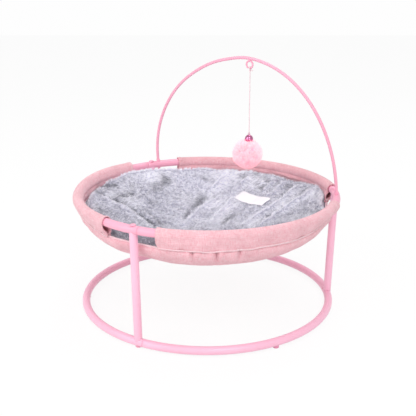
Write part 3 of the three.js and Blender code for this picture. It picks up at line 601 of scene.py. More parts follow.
bell_centre = knot - [0, 0, BELL_DROP]
string_top, string_end = knot[2] - KNOT_END, bell_centre[2] + BELL_R + TIE_TOP
string_route = by_eye(xyz(knot[0], 0, np.linspace(string_top, string_end, 240)))
string = sweep("toy_string_cord", string_route, STRING_R * 1.04, sides=16, shape=ply(0.42))
paint(string, string_fibre, "toy", replaces=["toy_string"])
bell_place = by_eye([bell_centre])[0]

# Bell: two pressed halves with a rolled seam, a slotted cross below, a hanger loop above
shell = half_round(61)
seam_bulge = BELL_SEAM * np.exp(-((np.arcsin(shell[:, 1:]) / 0.07) ** 2))
shell = np.vstack([(BELL_R + seam_bulge) * shell, (BELL_R - BELL_WALL) * shell[::-1]])
bell = lathe("bell_shell_halves", shell, bell_place, (0, 0, 1), 64)
cutters = []
for spin_slot in (0, math.pi / 2):
    bar = bpy.data.meshes.new("cut")
    reach, half = SLOT_REACH * MM, SLOT_HALF * MM
    ring = [(reach + half * math.cos(a), half * math.sin(a)) for a in np.linspace(-1.57, 1.57, 9)]
    ring += [(-x, -y) for x, y in ring]
    corners = [(x, y, z * MM) for z in (SLOT_LOW, SLOT_HIGH) for x, y in ring]
    n = len(ring)
    faces = [tuple(range(n))[::-1], tuple(range(n, 2 * n))]
    faces += [(i, (i + 1) % n, n + (i + 1) % n, n + i) for i in range(n)]
    bar.from_pydata(corners, [], faces)
    cutter = link(bpy.data.objects.new("cut", bar))
    cutter.matrix_world = (
        Matrix.Translation(Vector(bell_place) * MM) @ Matrix.Rotation(spin_slot + SLOT_TURN, 4, "Z")
    )
    cutters.append(cutter)
    modifier = bell.modifiers.new("slot", "BOOLEAN")
    modifier.operation, modifier.solver, modifier.object = "DIFFERENCE", "EXACT", cutter
bpy.context.view_layer.update()
graph = bpy.context.evaluated_depsgraph_get()
cut_mesh = bpy.data.meshes.new_from_object(bell.evaluated_get(graph))
bell.modifiers.clear()
bell.data = cut_mesh
cut_mesh.polygons.foreach_set("use_smooth", np.full(len(cut_mesh.polygons), True))
for cutter in cutters:
    bpy.data.objects.remove(cutter)
paint(bell, bell_metal, "toy", replaces=["bell_shell"])
ring_angle = circle(48)
hanger_route = HANGER_R * xyz(np.cos(ring_angle), 0, np.sin(ring_angle))
hanger_place = bell_centre + [0, 0, BELL_R + HANGER_RISE]
hanger = sweep("bell_hanger", by_eye(hanger_route + hanger_place), HANGER_WIRE, sides=14, closed=True)
paint(hanger, bell_metal, "toy")
tie_route = xyz(0, TIE_WIDE * np.sin(ring_angle), TIE_HIGH * np.cos(ring_angle))
tie_place = bell_centre + [0, 0, BELL_R + TIE_RISE]
tie = sweep("bell_string_loop", by_eye(tie_route + tie_place), TIE_YARN, sides=12, closed=True)
paint(tie, string_fibre, "toy")


# Fur: every strand is a thin blade of three triangles, from root to tip

def strands(name, root, direction, side, length, width, droop, tone, valley, sets):
    """Blades in several pieces. All but the name, width and sets have one row per strand."""
    middle = root + direction * (length * 0.55)[:, None] + droop * 0.3
    tip = root + direction * length[:, None] + droop
    half = side * (width / 2)
    corners = np.stack([root - half, root + half, middle - half * 0.8, middle + half * 0.8, tip], 1)
    pieces = []
    for index, rows in enumerate(np.array_split(np.arange(len(root)), sets)):
        base = np.arange(len(rows))[:, None, None] * 5
        faces = (base + np.array([[0, 1, 3], [0, 3, 2], [2, 3, 4]])).reshape(-1, 3)
        piece = mesh_piece(f"{name}_{index + 1}", corners[rows].reshape(-1, 3), faces)
        colours = np.ones((len(rows), 5, 4), np.float32)
        colours[:, :, 0] = [0, 0, 0.5, 0.5, 1.0]
        colours[:, :, 1] = tone[rows][:, None]
        # Third channel: how much painted shade the strand takes
        colours[:, :, 2] = valley[rows][:, None]
        layer = piece.data.color_attributes.new("strand", "FLOAT_COLOR", "POINT")
        layer.data.foreach_set("color", colours.reshape(-1))
        pieces.append(piece)
    return pieces


def unit(vectors):
    return vectors / np.maximum(np.linalg.norm(vectors, axis=1), 1e-9)[:, None]


pompom_centre = bell_place + [-POMPOM_ASIDE, 0, POMPOM_SINK - BELL_R - POMPOM_R]
core = lathe("pompom_core", (POMPOM_R - CORE_SINK) * half_round(33), pompom_centre, (0, 0, 1), 48)
paint(core, pompom_core, "toy", replaces=["pompom"])
count = FLUFF_COUNT
outward = unit(stray(1, count, 3))
tufts = unit(stray(1, FLUFF_TUFTS, 3))
nearest = np.concatenate([np.argmax(part @ tufts.T, axis=1) for part in np.array_split(outward, 26)])
comb = np.cross(outward, unit(stray(1, FLUFF_TUFTS, 3))[nearest])
toward = unit(0.75 * outward + 0.6 * comb + 0.3 * (tufts[nearest] - outward) + stray(0.16, count, 3))
reach = FLUFF_LONG + stray(0.9, count)
reach += 0.5 * np.sin(outward[:, 0] * 6) * np.cos(outward[:, 1] * 5)
reach -= FLUFF_SHORTER * np.maximum(0, outward[:, 2] - 0.93) / 0.07
side = unit(np.cross(toward, outward + stray(0.25, count, 3)))
tuft_tone = rng.uniform(0.54, 1.0, FLUFF_TUFTS)[nearest]
tone = np.clip(tuft_tone + stray(0.2, count), 0, 1)
shaded = 0.6 * smooth((0.1 - outward[:, 2]) / 0.8) * rng.uniform(0, 1, count)
for piece in strands(
    "pompom_fluff", pompom_centre + outward * (POMPOM_R - FLUFF_SINK), toward, side, reach, FLUFF_WIDE,
    np.zeros(3), tone, shaded, 1,
):
    paint(piece, pompom_fur, "toy")


# Fabric: how far it is drawn in behind a leg, and how the seam and rim run round the bed

def from_leg(azimuth):
    return np.abs((np.mod(azimuth, SECTOR) + 1.5 * SECTOR) % SECTOR - SECTOR / 2)


def pinch(azimuth):
    return np.cos(np.pi / 2 * np.minimum(1, from_leg(azimuth) / LEG_PINCH_ANGLE)) ** 2


# Azimuth in degrees and how far the seam lies below the upper ring's middle
SEAM_DROPS = [
    (-180, 25), (-150, 25.5), (-128, 26.5), (-110, 25.2), (-104, 23.6), (-96, 25), (-86, 24.8), (-77, 23.4),
    (-69, 22.8), (-60, 23), (-50, 22.6), (-29, 23.6), (-20, 20.9), (0, 25), (60, 24.5), (120, 25),
]


def by_azimuth(azimuth, table):
    """A value from a table of azimuths, in degrees, and values."""
    places, values = zip(*table)
    return np.interp(np.degrees(azimuth), places, values, period=360)


def turn_from(azimuth, middle):
    """Degrees from a middle to an azimuth, the short way round."""
    return (np.degrees(azimuth) - middle + 180) % 360 - 180


def seam_drop(azimuth):
    return by_azimuth(azimuth, SEAM_DROPS)


def seam_wave(azimuth):
    """Small rises and falls of a hand-fed seam, in millimetres."""
    s = azimuth * SEAM_R
    return 0.55 * np.sin(s / 13.0 + 1.3 * np.sin(s / 47.0)) + 0.35 * np.sin(s / 5.9 + 2.0) * np.sin(s / 71.0)


def swell(azimuth, middle, width):
    """A smooth rise and fall round an azimuth, both in degrees, 1 at its middle."""
    return np.exp(-((turn_from(azimuth, middle) / width) ** 2))


def seam_draw(azimuth):
    """How far the seam is drawn in: behind the legs, at the right and at the left."""
    sides = RIGHT_DRAW * swell(azimuth, -27, 20) + LEFT_DRAW * swell(azimuth, 207, 26)
    return LEG_PINCH * pinch(azimuth) + sides


def seam_radius(azimuth):
    return SEAM_R - seam_draw(azimuth)


def drawn_share(azimuth):
    return seam_radius(azimuth) / SEAM_R


def sleeve_section(azimuth, inset, rows_side=14, rows_top=22):
    """Radius and height along a sleeve's skin, from the seam outside, over the tube, to the seam inside."""
    radius = SLEEVE_R - inset
    drop = seam_drop(azimuth) + seam_wave(azimuth)
    seam = seam_radius(azimuth)
    half = max(SEAM_HALF - inset, SEAM_HALF_MIN)
    first = -SLEEVE_DIP - math.atan(seam_draw(azimuth) / drop)
    a = np.linspace(first, math.pi + INNER_WRAP, rows_top)
    slack = SLEEVE_SLACK * swell(azimuth, 150, 32) * np.maximum(0, np.cos(a - SLACK_TILT))
    top_r, top_z = UPPER_R + (radius + slack) * np.cos(a), (radius + slack) * np.sin(a)
    t = np.linspace(0, 1, rows_side, endpoint=False)
    low_z = -drop + (SEAM_FOLD if inset else 0.0)
    out_bulge = (0 if inset else OUTER_BULGE) * np.sin(np.pi * t) ** 1.3
    out_r = seam + half + (top_r[0] - seam - half) * t + out_bulge
    out_z = low_z + (top_z[0] - low_z) * t
    t = np.linspace(0, 1, rows_side + 1)[1:]
    in_r = top_r[-1] + (seam - half - top_r[-1]) * t - INNER_BULGE * np.sin(np.pi * t) ** 0.8
    in_z = top_z[-1] + (low_z - top_z[-1]) * t
    return np.concatenate([out_r, top_r, in_r]), np.concatenate([out_z, top_z, in_z])


def point_at(s, run, line):
    """A place on a line of points, by the length run along it."""
    return np.array([np.interp(s, run, line[:, c]) for c in range(3)])


def dash(p, q, lift):
    """Corners of a thread dash from p to q, raised off the cloth between them."""
    sideways = unit(np.cross(unit((q - p)[None]), lift))[0] * STITCH_HALF
    high = (p + q) / 2 + lift * STITCH_RISE
    return np.stack([
        p - sideways, p + sideways, high + sideways, high - sideways, q + sideways, q - sideways,
    ])


def sleeve_piece(number, start, end, steps=230):
    azimuths = np.linspace(start, end, steps)
    skins = [np.moveaxis([sleeve_section(a, inset) for a in azimuths], 1, 0) for inset in (0, SLEEVE_CLOTH)]
    r, z = skins[0]
    along = azimuths[:, None] * SEAM_R
    across = np.concatenate([[0], np.cumsum(np.hypot(np.diff(r[0]), np.diff(z[0])))])[None, :]
    # Outward direction in the section
    dr, dz = np.gradient(r, axis=1), np.gradient(z, axis=1)
    size = np.hypot(dr, dz)
    nr, nz = dz / size, -dr / size
    # Slack: wrinkles on both sides, none where the cloth is taut over the tube; puckers at the seam
    m = r.shape[1]
    column = np.linspace(0, 1, m)[None, :]
    side_share = smooth((np.abs(column - 0.5) - 0.14) / 0.2)
    inner_side = smooth((column - 0.6) / 0.15)
    wrinkle = 0.55 * noise2(along, across * 2.2, 11 + number, 46) * side_share * (1 + 1.1 * inner_side)
    drag = 0.5 * noise2(along + across * 1.2, across * 0.5, 31 + number, 21) * side_share
    to_seam = np.minimum(column, 1 - column) / 0.5
    pucker = 0.5 * np.sin(along / 3.1 + 2 * np.sin(along / 17.0)) * np.exp(-((to_seam / 0.16) ** 2))
    # Hemmed ends: a doubled band with a stitched groove, and an edge that flares a little
    to_end = np.minimum(along - along[0], along[-1] - along)
    band = 0.7 * (1 - smooth((to_end - HEM_WIDE) / 1.2))
    groove = -0.45 * np.exp(-(((to_end - HEM_STITCH) / 0.6) ** 2))
    waved = 0.8 * np.exp(-to_end / 14.0) * noise2(along, across, 51, 30)
    flare = 0.9 * np.exp(-to_end / 5.0) * side_share + waved
    offset = wrinkle + drag + pucker + band + groove + flare * side_share
    offset = offset * np.where(column > 0.5, smooth(to_seam / 0.25), 1)
    turned = azimuths[:, None] + 0.5 * np.sin(across / 6.0 + number) * np.exp(-to_end / 8.0) / SEAM_R
    outer, inner = (
        around(turned, r + nr * push, UPPER_Z + z + nz * push)
        for (r, z), push in zip(skins, (offset, (offset - band * 0.6) * 0.9))
    )
    skin = np.concatenate([outer, inner[:, ::-1]], axis=1)
    # The inner skin's weave is set well apart from the outer skin's
    v = np.concatenate([across[0], across[0][::-1] + 1000.0])
    uv = np.stack(np.broadcast_arrays(along, v), -1).reshape(-1, 2)
    sleeve = mesh_piece(f"sleeve_{number}_cloth", skin.reshape(-1, 3), cloth_faces(steps, m), uv=uv)
    # Sleeve 1, at the back, takes the darker linen: painted shade
    paint(sleeve, linen_shaded if number == 1 else linen, replaces=[f"sleeve_{number}"])

    # Stitches: short thread dashes beside each hemmed end and above the seam
    dashes = []
    hem_row = int(round(HEM_STITCH / ((end - start) * SEAM_R / steps)))
    for row in (hem_row, steps - 1 - hem_row):
        run, line, away = across[0], outer[row], around(azimuths[row], nr[row], nz[row])
        for s in np.arange(STITCH_FROM_EDGE, run[-1] - STITCH_FROM_EDGE, STITCH_PITCH):
            lift = point_at(s + STITCH / 2, run, away)
            p, q = (point_at(place, run, line) + lift * HEM_THREAD for place in (s, s + STITCH))
            dashes.append(dash(p, q, lift))
    run, line = along[:, 0], outer[:, 3]
    for s in np.arange(2.0, run[-1] - run[0] - 3.0, STITCH_PITCH) + run[0]:
        p, q = point_at(s, run, line), point_at(s + STITCH, run, line)
        lift = unit(p[None] * [1, 1, 0])[0]
        dashes.append(dash(p + lift * SEAM_THREAD, q + lift * SEAM_THREAD, lift))
    base = np.arange(len(dashes))[:, None, None] * 6
    faces = (base + np.array([[0, 1, 2, 3], [3, 2, 4, 5]])).reshape(-1, 4)
    stitches = mesh_piece(f"sleeve_{number}_stitches", np.concatenate(dashes), faces)
    paint(stitches, thread_pink)


for index, ends in enumerate(SLEEVE_ENDS):
    sleeve_piece(index + 1, *np.radians(ends))


# Bowl: gathered into the seam, so it has pleats there that fade out below

# Pleats: azimuth in degrees, depth, half width and length
pleats = [
    (-95.6, 7.0, 2.4, 19.0), (-86.4, 9.0, 2.8, 23.0), (-77.6, 6.8, 2.6, 19.0), (-70.0, 2.8, 4.0, 15.0),
    (-62.5, 2.6, 3.6, 13.0), (-104.0, 2.0, 4.5, 16.0), (-48.0, 2.8, 4.0, 14.0), (-36.0, 2.4, 4.0, 14.0),
]
for spot in np.arange(-20, 250, 8.2):
    pleats.append(rng.uniform((spot - 2.5, 1.2, 2.8, 11), (spot + 2.5, 3.8, 5.0, 22)))
pleat_az, pleat_deep, pleat_wide, pleat_long = (np.array(column) for column in zip(*pleats))


def bowl_skin(azimuth, quarter, inset):
    """A place on the bowl's cloth by azimuth and quarter turn: the rim is 0, the middle pi / 2."""
    down = np.sin(quarter)
    radius = (SEAM_R + BOWL_OUT - inset) * np.cos(quarter) * drawn_share(azimuth)
    rim = seam_drop(azimuth) + BOWL_BELOW + GAP_SAG * pinch(azimuth)
    height = UPPER_Z - rim * (1 - down) - SEAM_DROP * down - (BOWL_DEPTH - inset) * down
    below = BOWL_DEPTH * down
    away = np.abs(np.radians(turn_from(azimuth[..., None], pleat_az)) * SEAM_R)
    fade = np.exp(-((below[..., None] / pleat_long) ** 1.6)) * (1 - 0.8 * pinch(azimuth)[..., None])
    valley = (pleat_deep * np.exp(-((away / pleat_wide) ** 1.3)) * fade).sum(-1)
    beside = (away - 2.6 * pleat_wide) / (1.9 * pleat_wide)
    ridge = (0.42 * pleat_deep * np.exp(-(beside ** 2)) * fade).sum(-1)
    along = azimuth * SEAM_R
    puff = 1.7 * np.sin(np.pi * np.clip(below / 40.0, 0, 1)) * (0.75 + 0.45 * noise2(along, below, 5, 58))
    slack = noise2(np.cos(azimuth) * radius, np.sin(azimuth) * radius, 6, 75)
    slack = 0.9 * slack * smooth(below / 12.0)
    tuck = -2.6 * np.exp(-((below / 3.6) ** 2))
    push = (ridge - valley + puff + slack + tuck) * (1 if inset < 1 else 0.7)
    ease = np.cos(quarter) ** 0.7
    return around(azimuth, radius + push * ease, height - push * (1 - ease) * 0.8)


bowl_turns, bowl_rows = 900, 84
bowl_azimuth = circle(bowl_turns)
quarter = math.pi / 2 * np.linspace(0, 1, bowl_rows) ** 1.25
quarter[-1] = math.pi / 2 - 0.004
bowl_grid = np.meshgrid(bowl_azimuth, quarter)
outer, inner = bowl_skin(*bowl_grid, 0.0), bowl_skin(*bowl_grid, BOWL_CLOTH)
run = np.cumsum(np.linalg.norm(np.diff(outer, axis=0), axis=2).mean(1))
flat = BOWL_CUT_R - np.concatenate([[0], run])
flat = np.concatenate([flat[::-1], flat])[:, None]
uv = np.stack([flat * np.cos(bowl_azimuth), flat * np.sin(bowl_azimuth)], -1).reshape(-1, 2)
# The first and last rows are small rings in the middle of each skin, closed by caps
skin = np.concatenate([inner[::-1], outer])
bowl = mesh_piece(
    "hammock_bowl_cloth", np.vstack([skin.reshape(-1, 3), skin[0].mean(0), skin[-1].mean(0)]),
    *capped_faces(2 * bowl_rows, bowl_turns), np.vstack([uv, np.zeros((2, 2))]),
)
paint(bowl, linen, replaces=["hammock_bowl"])


def welt(squash, ripple, pitch):
    """Shape of a sewn edge: flattened, with a ripple of its stitches."""
    return lambda turn, along: 1 - squash + squash * np.cos(2 * turn) + ripple * np.sin(along / pitch)


# The raised edge where sleeve and bowl are sewn together, and the hem of the rim in the three gaps, both in
# the paler linen, a painted highlight
for index in range(3):
    start, end = np.radians(SLEEVE_ENDS[index])
    gap_end = math.radians(SLEEVE_ENDS[(index + 1) % 3][0]) + (TAU if index == 2 else 0)
    azimuth = np.linspace(start + 0.004, end - 0.004, 300)
    seam_z = UPPER_Z - (seam_drop(azimuth) + seam_wave(azimuth) + EDGE_DROP)
    s = azimuth * SEAM_R
    seam = seam_radius(azimuth) + 0.35 * np.sin(s / 3.1 + 2 * np.sin(s / 17.0))
    sizes = EDGE_SIZE + 0.6 * swell(azimuth, -66, 20)
    edge = sweep(
        f"sleeve_{index + 1}_seam_edge", around(azimuth, seam + EDGE_OUT, seam_z), sizes, sides=14,
        shape=welt(0.15, 0.05, 1.1),
    )
    paint(edge, linen_highlit)
    roll_route = around(azimuth, seam - ROLL_IN, seam_z + ROLL_RISE)
    roll = sweep(f"sleeve_{index + 1}_seam_roll", roll_route, ROLL_SIZE, sides=12)
    paint(roll, linen)
    azimuth = np.linspace(end - RIM_LAP, gap_end + RIM_LAP, 120)
    rim_route = bowl_skin(azimuth, np.zeros(120), 1.0) + [0, 0, RIM_RISE]
    hem = sweep(f"rim_hem_{index + 1}", rim_route, RIM_SIZE, sides=14, shape=welt(0.1, 0.05, 1.3))
    paint(hem, linen_highlit)


# Plush pad: a dished cushion with folds, then its pile

# Azimuth in degrees and height over the upper ring
EDGE_HEIGHTS = [
    (0, -12), (9, -9), (19, -6), (30, -8), (36, -12), (42, -15), (49, -13), (57, -10), (67, -10),
    (82, -11), (94, -10), (106, -8), (113, -2), (122, 0), (131, 2), (140, 0), (147, -3), (162, -6),
    (173, -8), (185, -11), (200, -16), (215, -17), (232, -20), (240, -22), (250, -19), (262, -15),
    (300, -13), (345, -14),
]
FOLDS = [
    # Line in plan, height over the dish (below zero in a crease) and half width
    ([(52, 215), (35, 188), (18, 163), (2, 146), (-11, 123)], 6.5, 8.0),
    ([(21, 111), (3, 84), (-14, 55), (-31, 13), (-45, -29), (-56, -72)], 6.5, 8.5),
    ([(100, 190), (83, 172), (67, 147), (54, 110), (39, 72), (20, 30), (3, -17)], 6.5, 7.0),
    ([(146, 162), (129, 134), (115, 114)], 7.0, 6.0),
    ([(165, 145), (150, 119), (135, 89)], 7.0, 6.5),
    ([(190, 109), (171, 77), (144, 46), (116, 18), (81, -28), (64, -79)], 7.5, 7.0),
    ([(219, 65), (197, 47), (167, 21), (137, -13), (105, -55), (91, -88)], 7.5, 7.0),
    ([(-215, 20), (-185, 8), (-150, -12), (-120, -52)], 3.5, 10.0),
    ([(-224, 43), (-202, 40), (-177, 33), (-152, 22), (-119, -17), (-95, -61)], -8.0, 6.5),
    ([(-131, 28), (-117, 16), (-97, -13), (-79, -49)], -3.5, 6.0),
    ([(-222, 77), (-205, 89), (-184, 102)], -4.5, 7.0),
    ([(-180, 65), (-163, 77), (-146, 95)], -3.2, 12.0),
    ([(-125, 110), (-102, 142), (-74, 171)], -2.2, 18.0),
    ([(30, 205), (3, 161), (-14, 115), (-38, 55), (-58, -10)], -3.5, 10.0),
    ([(-15, 189), (10, 202)], -3.5, 10.0),
    ([(71, 182), (93, 191)], -4.0, 9.0),
    ([(102, 144), (122, 147), (140, 153)], -6.0, 8.0),
    ([(180, 120), (158, 92), (135, 60)], -5.0, 7.0),
    ([(178, 68), (159, 42), (130, 9), (101, -29)], -6.5, 7.0),
    ([(200, 88), (180, 62)], -3.5, 6.0),
    ([(54, 45), (32, 6), (19, -41)], -3.2, 10.0),
]


def line_distance(x, y, line):
    """Distance to a line of points, and 0 to 1 along it."""
    best = np.full(np.shape(x), 1e9)
    share = np.zeros(np.shape(x))
    lengths = [math.dist(p, q) for p, q in zip(line, line[1:])]
    total, run = sum(lengths), 0.0
    for (px, py), (qx, qy), length in zip(line, line[1:], lengths):
        dx, dy = (qx - px) / length, (qy - py) / length
        t = np.clip((x - px) * dx + (y - py) * dy, 0, length)
        away = np.hypot(x - px - dx * t, y - py - dy * t)
        near = away < best
        best = np.where(near, away, best)
        share = np.where(near, (run + t) / total, share)
        run += length
    return best, share


def folds(x, y):
    """Height of the pad's folds over its plain dish, below zero in a crease."""
    total = np.zeros(np.shape(x))
    for line, high, wide in FOLDS:
        away, share = line_distance(x, y, line)
        fade = smooth(share / 0.2 + 0.3) * smooth((1 - share) / 0.25 + 0.2)
        total = total + high * fade * np.exp(-((away / wide) ** 1.7))
    return total + 1.2 * noise2(x, y, 73, 70) + 0.7 * noise2(x, y, 74, 26)


def pad_share(azimuth):
    """As drawn_share, but the pad bulges over the rim beside the right leg."""
    return drawn_share(azimuth) + 0.03 * swell(azimuth, 15, 13)


def pad_surface(azimuth, share):
    """A place on the pad's skin: share is 0 in the middle and 1 where the edge starts to turn down."""
    radius = PAD_CROWN_R * pad_share(azimuth) * share
    edge = by_azimuth(azimuth, EDGE_HEIGHTS) - PAD_SINK
    x, y = radius * np.cos(azimuth), radius * np.sin(azimuth)
    height = PAD_MIDDLE + (edge - PAD_MIDDLE) * share ** 1.8
    scallop = 1.3 * np.sin(azimuth * 19 + 2 * np.sin(azimuth * 5)) * smooth((share - 0.8) / 0.2)
    height = height + folds(x, y) * (1 - smooth((share - 0.9) / 0.1) * 0.75) + scallop
    return xyz(x, y, UPPER_Z + height)


# The skin: the top, the edge that turns down, and the wall that follows the bowl
pad_turns = 540
pad_azimuth = circle(pad_turns)
top = pad_surface(*np.meshgrid(pad_azimuth, np.linspace(0.004, 1, 150)))
rims = []
for t in np.linspace(0, math.pi / 2, 9)[1:]:
    radius = (PAD_CROWN_R + (PAD_EDGE_R - PAD_IN - PAD_CROWN_R) * math.sin(t)) * pad_share(pad_azimuth)
    rims.append(around(pad_azimuth, radius, top[-1][:, 2] - PAD_LIP * (1 - math.cos(t))))
wall = np.array([
    bowl_skin(pad_azimuth, np.full(pad_turns, q), PAD_CLEAR) for q in np.arcsin(np.linspace(0.02, 0.97, 26))
])
wall[..., 2] = np.minimum(wall[..., 2], rims[-1][:, 2] - PAD_TUCK)
skin = np.concatenate([top, np.array(rims), wall])
points = np.vstack([skin.reshape(-1, 3), top[0].mean(0), [0, 0, skin[-1][:, 2].mean()]])
pad = mesh_piece("plush_pad_skin", points, *capped_faces(len(skin), pad_turns, flip=True))
paint(pad, plush_skin, replaces=["plush_pad"])

# Label: a bare woven patch, sewn down at its two ends

def pad_height(x, y):
    azimuth = np.arctan2(y, x)
    return pad_surface(azimuth, np.hypot(x, y) / (PAD_CROWN_R * pad_share(azimuth)))[..., 2]


label_cos, label_sin = math.cos(LABEL_TURN), math.sin(LABEL_TURN)
label_rows, label_cols = 61, 23
along, across = np.meshgrid(
    np.linspace(-LABEL_LONG / 2, LABEL_LONG / 2, label_rows),
    np.linspace(-LABEL_WIDE / 2, LABEL_WIDE / 2, label_cols), indexing="ij",
)
x = LABEL_X + along * label_cos - across * label_sin
y = LABEL_Y + along * label_sin + across * label_cos
arch_up = LABEL_RISE + 0.9 * np.cos(across / 13.5 * 1.5) + 0.4 * np.sin(along / 9.0)
arch_up = arch_up - 1.6 * smooth((np.abs(along) - LABEL_LONG / 2 + LABEL_SEWN) / LABEL_SEWN)
ground = pad_height(x, y)
z = 0.5 * ground + 0.5 * ground.mean(1, keepdims=True) + arch_up + 0.2 * across
skin = np.concatenate([xyz(x, y, z - LABEL_CLOTH), xyz(x, y, z)[:, ::-1]], axis=1)
label = mesh_piece("pad_label_patch", skin.reshape(-1, 3), cloth_faces(label_rows, label_cols))
paint(label, label_cloth, replaces=["pad_label"])

def triples(items, key, kind=np.float32):
    """Three numbers of each vertex or triangle of a mesh."""
    values = np.zeros(len(items) * 3, kind)
    items.foreach_get(key, values)
    return values.reshape(-1, 3)


# The pile: strands on the top, over the edge and down the sides that show in the gaps
pad.data.calc_loop_triangles()
corner_index = triples(pad.data.loop_triangles, "vertices", np.int32)
place = triples(pad.data.vertices, "co").astype(float) / MM
normal = triples(pad.data.vertices, "normal").astype(float)
p0, p1, p2 = (place[corner_index[:, c]] for c in range(3))
area = np.linalg.norm(np.cross(p1 - p0, p2 - p0), axis=1) / 2
centre = (p0 + p1 + p2) / 3
azimuth = np.arctan2(centre[:, 1], centre[:, 0])
drop = UPPER_Z - centre[:, 2]
out = np.hypot(centre[:, 0], centre[:, 1]) / drawn_share(azimuth)
on_top = normal[corner_index[:, 0]][:, 2] > 0.05
in_gap = (pinch(azimuth) > 0.1) & (drop < 36) & (out > 200)
weight = area * (on_top | in_gap)
pick = rng.choice(len(area), PILE_COUNT, p=weight / weight.sum())
u, v = rng.random(PILE_COUNT), rng.random(PILE_COUNT)
over = u + v > 1
u[over], v[over] = 1 - u[over], 1 - v[over]
share = np.stack([1 - u - v, u, v], 1)[:, :, None]
root = (place[corner_index[pick]] * share).sum(1)
up = unit((normal[corner_index[pick]] * share).sum(1))
dx, dy = root[:, 0] - LABEL_X, root[:, 1] - LABEL_Y
along, across = dx * label_cos + dy * label_sin, -dx * label_sin + dy * label_cos
keep = ~((np.abs(along) < LABEL_BARE[0]) & (np.abs(across) < LABEL_BARE[1]))
root, up = root[keep], up[keep]
count = len(root)
x, y = root[:, 0], root[:, 1]

# Tufts: jittered cells, each with its own lean and tone; a strand belongs to the nearest
grid_r = np.random.default_rng(21)
jitter = grid_r.uniform(0.1, 0.9, (TUFT_GRID, TUFT_GRID, 2))
lean_turn = grid_r.normal(scale=0.42, size=(TUFT_GRID, TUFT_GRID))
lean_tone = 0.14 + 0.74 * grid_r.beta(2.2, 1.6, (TUFT_GRID, TUFT_GRID))
lean_rise = grid_r.normal(scale=0.16, size=(TUFT_GRID, TUFT_GRID))
own = np.floor(root[:, :2] / TUFT_CELL).astype(int) + TUFT_GRID // 2
steps = np.array([(i, j) for i in (-1, 0, 1) for j in (-1, 0, 1)])[:, None]
cells = np.clip(own + steps, 0, TUFT_GRID - 1)
middles = (cells - TUFT_GRID // 2 + jitter[cells[..., 0], cells[..., 1]]) * TUFT_CELL
nearest = np.argmin(np.hypot(x - middles[..., 0], y - middles[..., 1]), axis=0), np.arange(count)
cell, tuft = tuple(cells[nearest].T), middles[nearest]

# Folds, creases and where the pile lies in shade
fold_here = folds(x, y)
valley = smooth((-fold_here - 0.5) / 5.0)
crest = smooth((fold_here - 1.2) / 4.0)
under = smooth((UPPER_Z - root[:, 2] - 19) / 6) * (np.hypot(x, y) > 205)
far_side = smooth((y - 110) / 60) * (1 - smooth((x - 20) / 80))
near_side = smooth((30 - y) / 120) + 0.5 * smooth((x - 90) / 80)
nap = -0.9 + 0.7 * noise2(x, y, 81, 150) + lean_turn[cell]
flat_way = around(nap, 1.0, 0.0)
flat_way = unit(flat_way - up * (flat_way * up).sum(1)[:, None])
rise = np.clip(0.48 + lean_rise[cell] + stray(0.08, count), 0.2, 1.1)[:, None]
direction = unit(up * np.sin(rise) + flat_way * np.cos(rise) + stray(0.13, count, 3))
length = PILE_LONG + noise2(x, y, 82, 40) + stray(0.9, count) - 1.5 * valley
droop = np.zeros((count, 3))
droop[:, :2] = (tuft - root[:, :2]) * 0.35
droop[:, 2] = -0.8 * (1 - up[:, 2]) * length * 0.25
side = unit(np.cross(direction, up + stray(0.25, count, 3)))
# Painted light in the tone: paler on crests and towards the back left; painted shade in creases, under the
# tube and towards the front and right
tone = lean_tone[cell] * (1 - 0.5 * valley) * (1 - 0.4 * crest) + 0.4 * crest
tone = tone + 0.25 * far_side - 0.15 * under - 0.18 * near_side
tone = np.clip(tone + stray(0.26, count) * (1 + valley), 0, 1)
# Tips keep inside the sleeves
tip = root + direction * length[:, None] + droop
tip_r = np.hypot(tip[:, 0], tip[:, 1])
limit = (PAD_EDGE_R + 0.5) * pad_share(np.arctan2(tip[:, 1], tip[:, 0]))
back = np.minimum(0, limit - tip_r) / np.maximum(tip_r, 1)
droop = droop + tip * back[:, None] * [1, 1, 0]
shaded = np.clip(np.maximum(valley, 0.3 * under) * rng.choice([0.25, 1.3], count), 0, 1)
for piece in strands(
    "plush_pile", root - up * PILE_ROOT, direction, side, length, PILE_WIDE, droop, tone, shaded, 6,
):
    paint(piece, plush_fur)

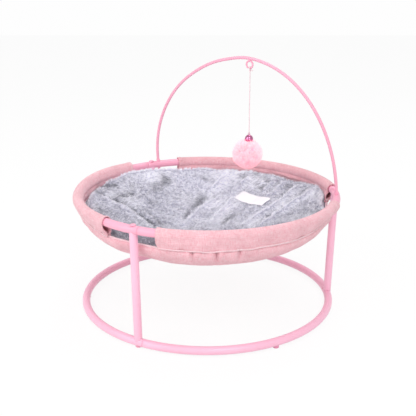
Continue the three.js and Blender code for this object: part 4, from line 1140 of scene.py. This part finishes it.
# The CAD nodes that still show are the plated ones inside the legs and the bell
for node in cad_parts.values():
    if not node.hide_render:
        node.data.materials.clear()
        node.data.materials.append(plated_metal)


# Floor, light and backdrop: the floor looks white, keeps its shadow and passes less light on

floor_material = bpy.data.materials.new("floor")
s = Shader(floor_material, empty=True)
rays = s.add("LightPath").outputs
seen = s.maths("MAXIMUM", rays["Is Camera Ray"], rays["Is Glossy Ray"])
seen = s.maths("MAXIMUM", seen, rays["Is Transmission Ray"])
white = s.add("AddShader", {
    0: s.add("BsdfDiffuse", {"Color": (0.10, 0.10, 0.10)}),
    1: s.add("Emission", {"Color": (1, 1, 1), "Strength": 0.9}),
})
plain = s.add("BsdfDiffuse", {"Color": (0.87, 0.87, 0.87)})
s.add("OutputMaterial", {0: s.add("MixShader", {0: seen, 1: plain, 2: white})})
floor_mesh = bpy.data.meshes.new("floor")
floor_mesh.from_pydata([(-6, -6, 0), (6, -6, 0), (6, 6, 0), (-6, 6, 0)], [], [(0, 1, 2, 3)])
floor_mesh.materials.append(floor_material)
link(bpy.data.objects.new("floor", floor_mesh))

world = bpy.data.worlds.new("world")
scene.world = world
s = Shader(world, empty=True)
soft = s.add("Background", {"Color": (1, 1, 1), "Strength": 0.67})
seen = s.add("Background", {"Color": (1, 1, 1), "Strength": 0.99})
rays = s.add("LightPath").outputs
s.add("OutputWorld", {0: s.add("MixShader", {0: rays["Is Camera Ray"], 1: soft, 2: seen})})


# Soft lamps: name, place, height aimed at, size in metres and power in watts
for name, place, aim, size, power in (
    ("key", (0.5, -2.0, 1.9), 0.2, 1.1, 19),
    ("fill", (-1.8, -1.2, 1.4), 0.2, 1.6, 19),
    ("back", (0.5, 1.0, 2.4), 0.25, 1.2, 13),
):
    lamp = bpy.data.lights.new(name, "AREA")
    lamp.shape, lamp.size, lamp.energy = "SQUARE", size, power
    lamp = link(bpy.data.objects.new(name, lamp))
    lamp.location = place
    lamp.rotation_euler = (Vector((0, 0, aim)) - lamp.location).to_track_quat("-Z", "Y").to_euler()

scene.view_settings.view_transform = "Standard"
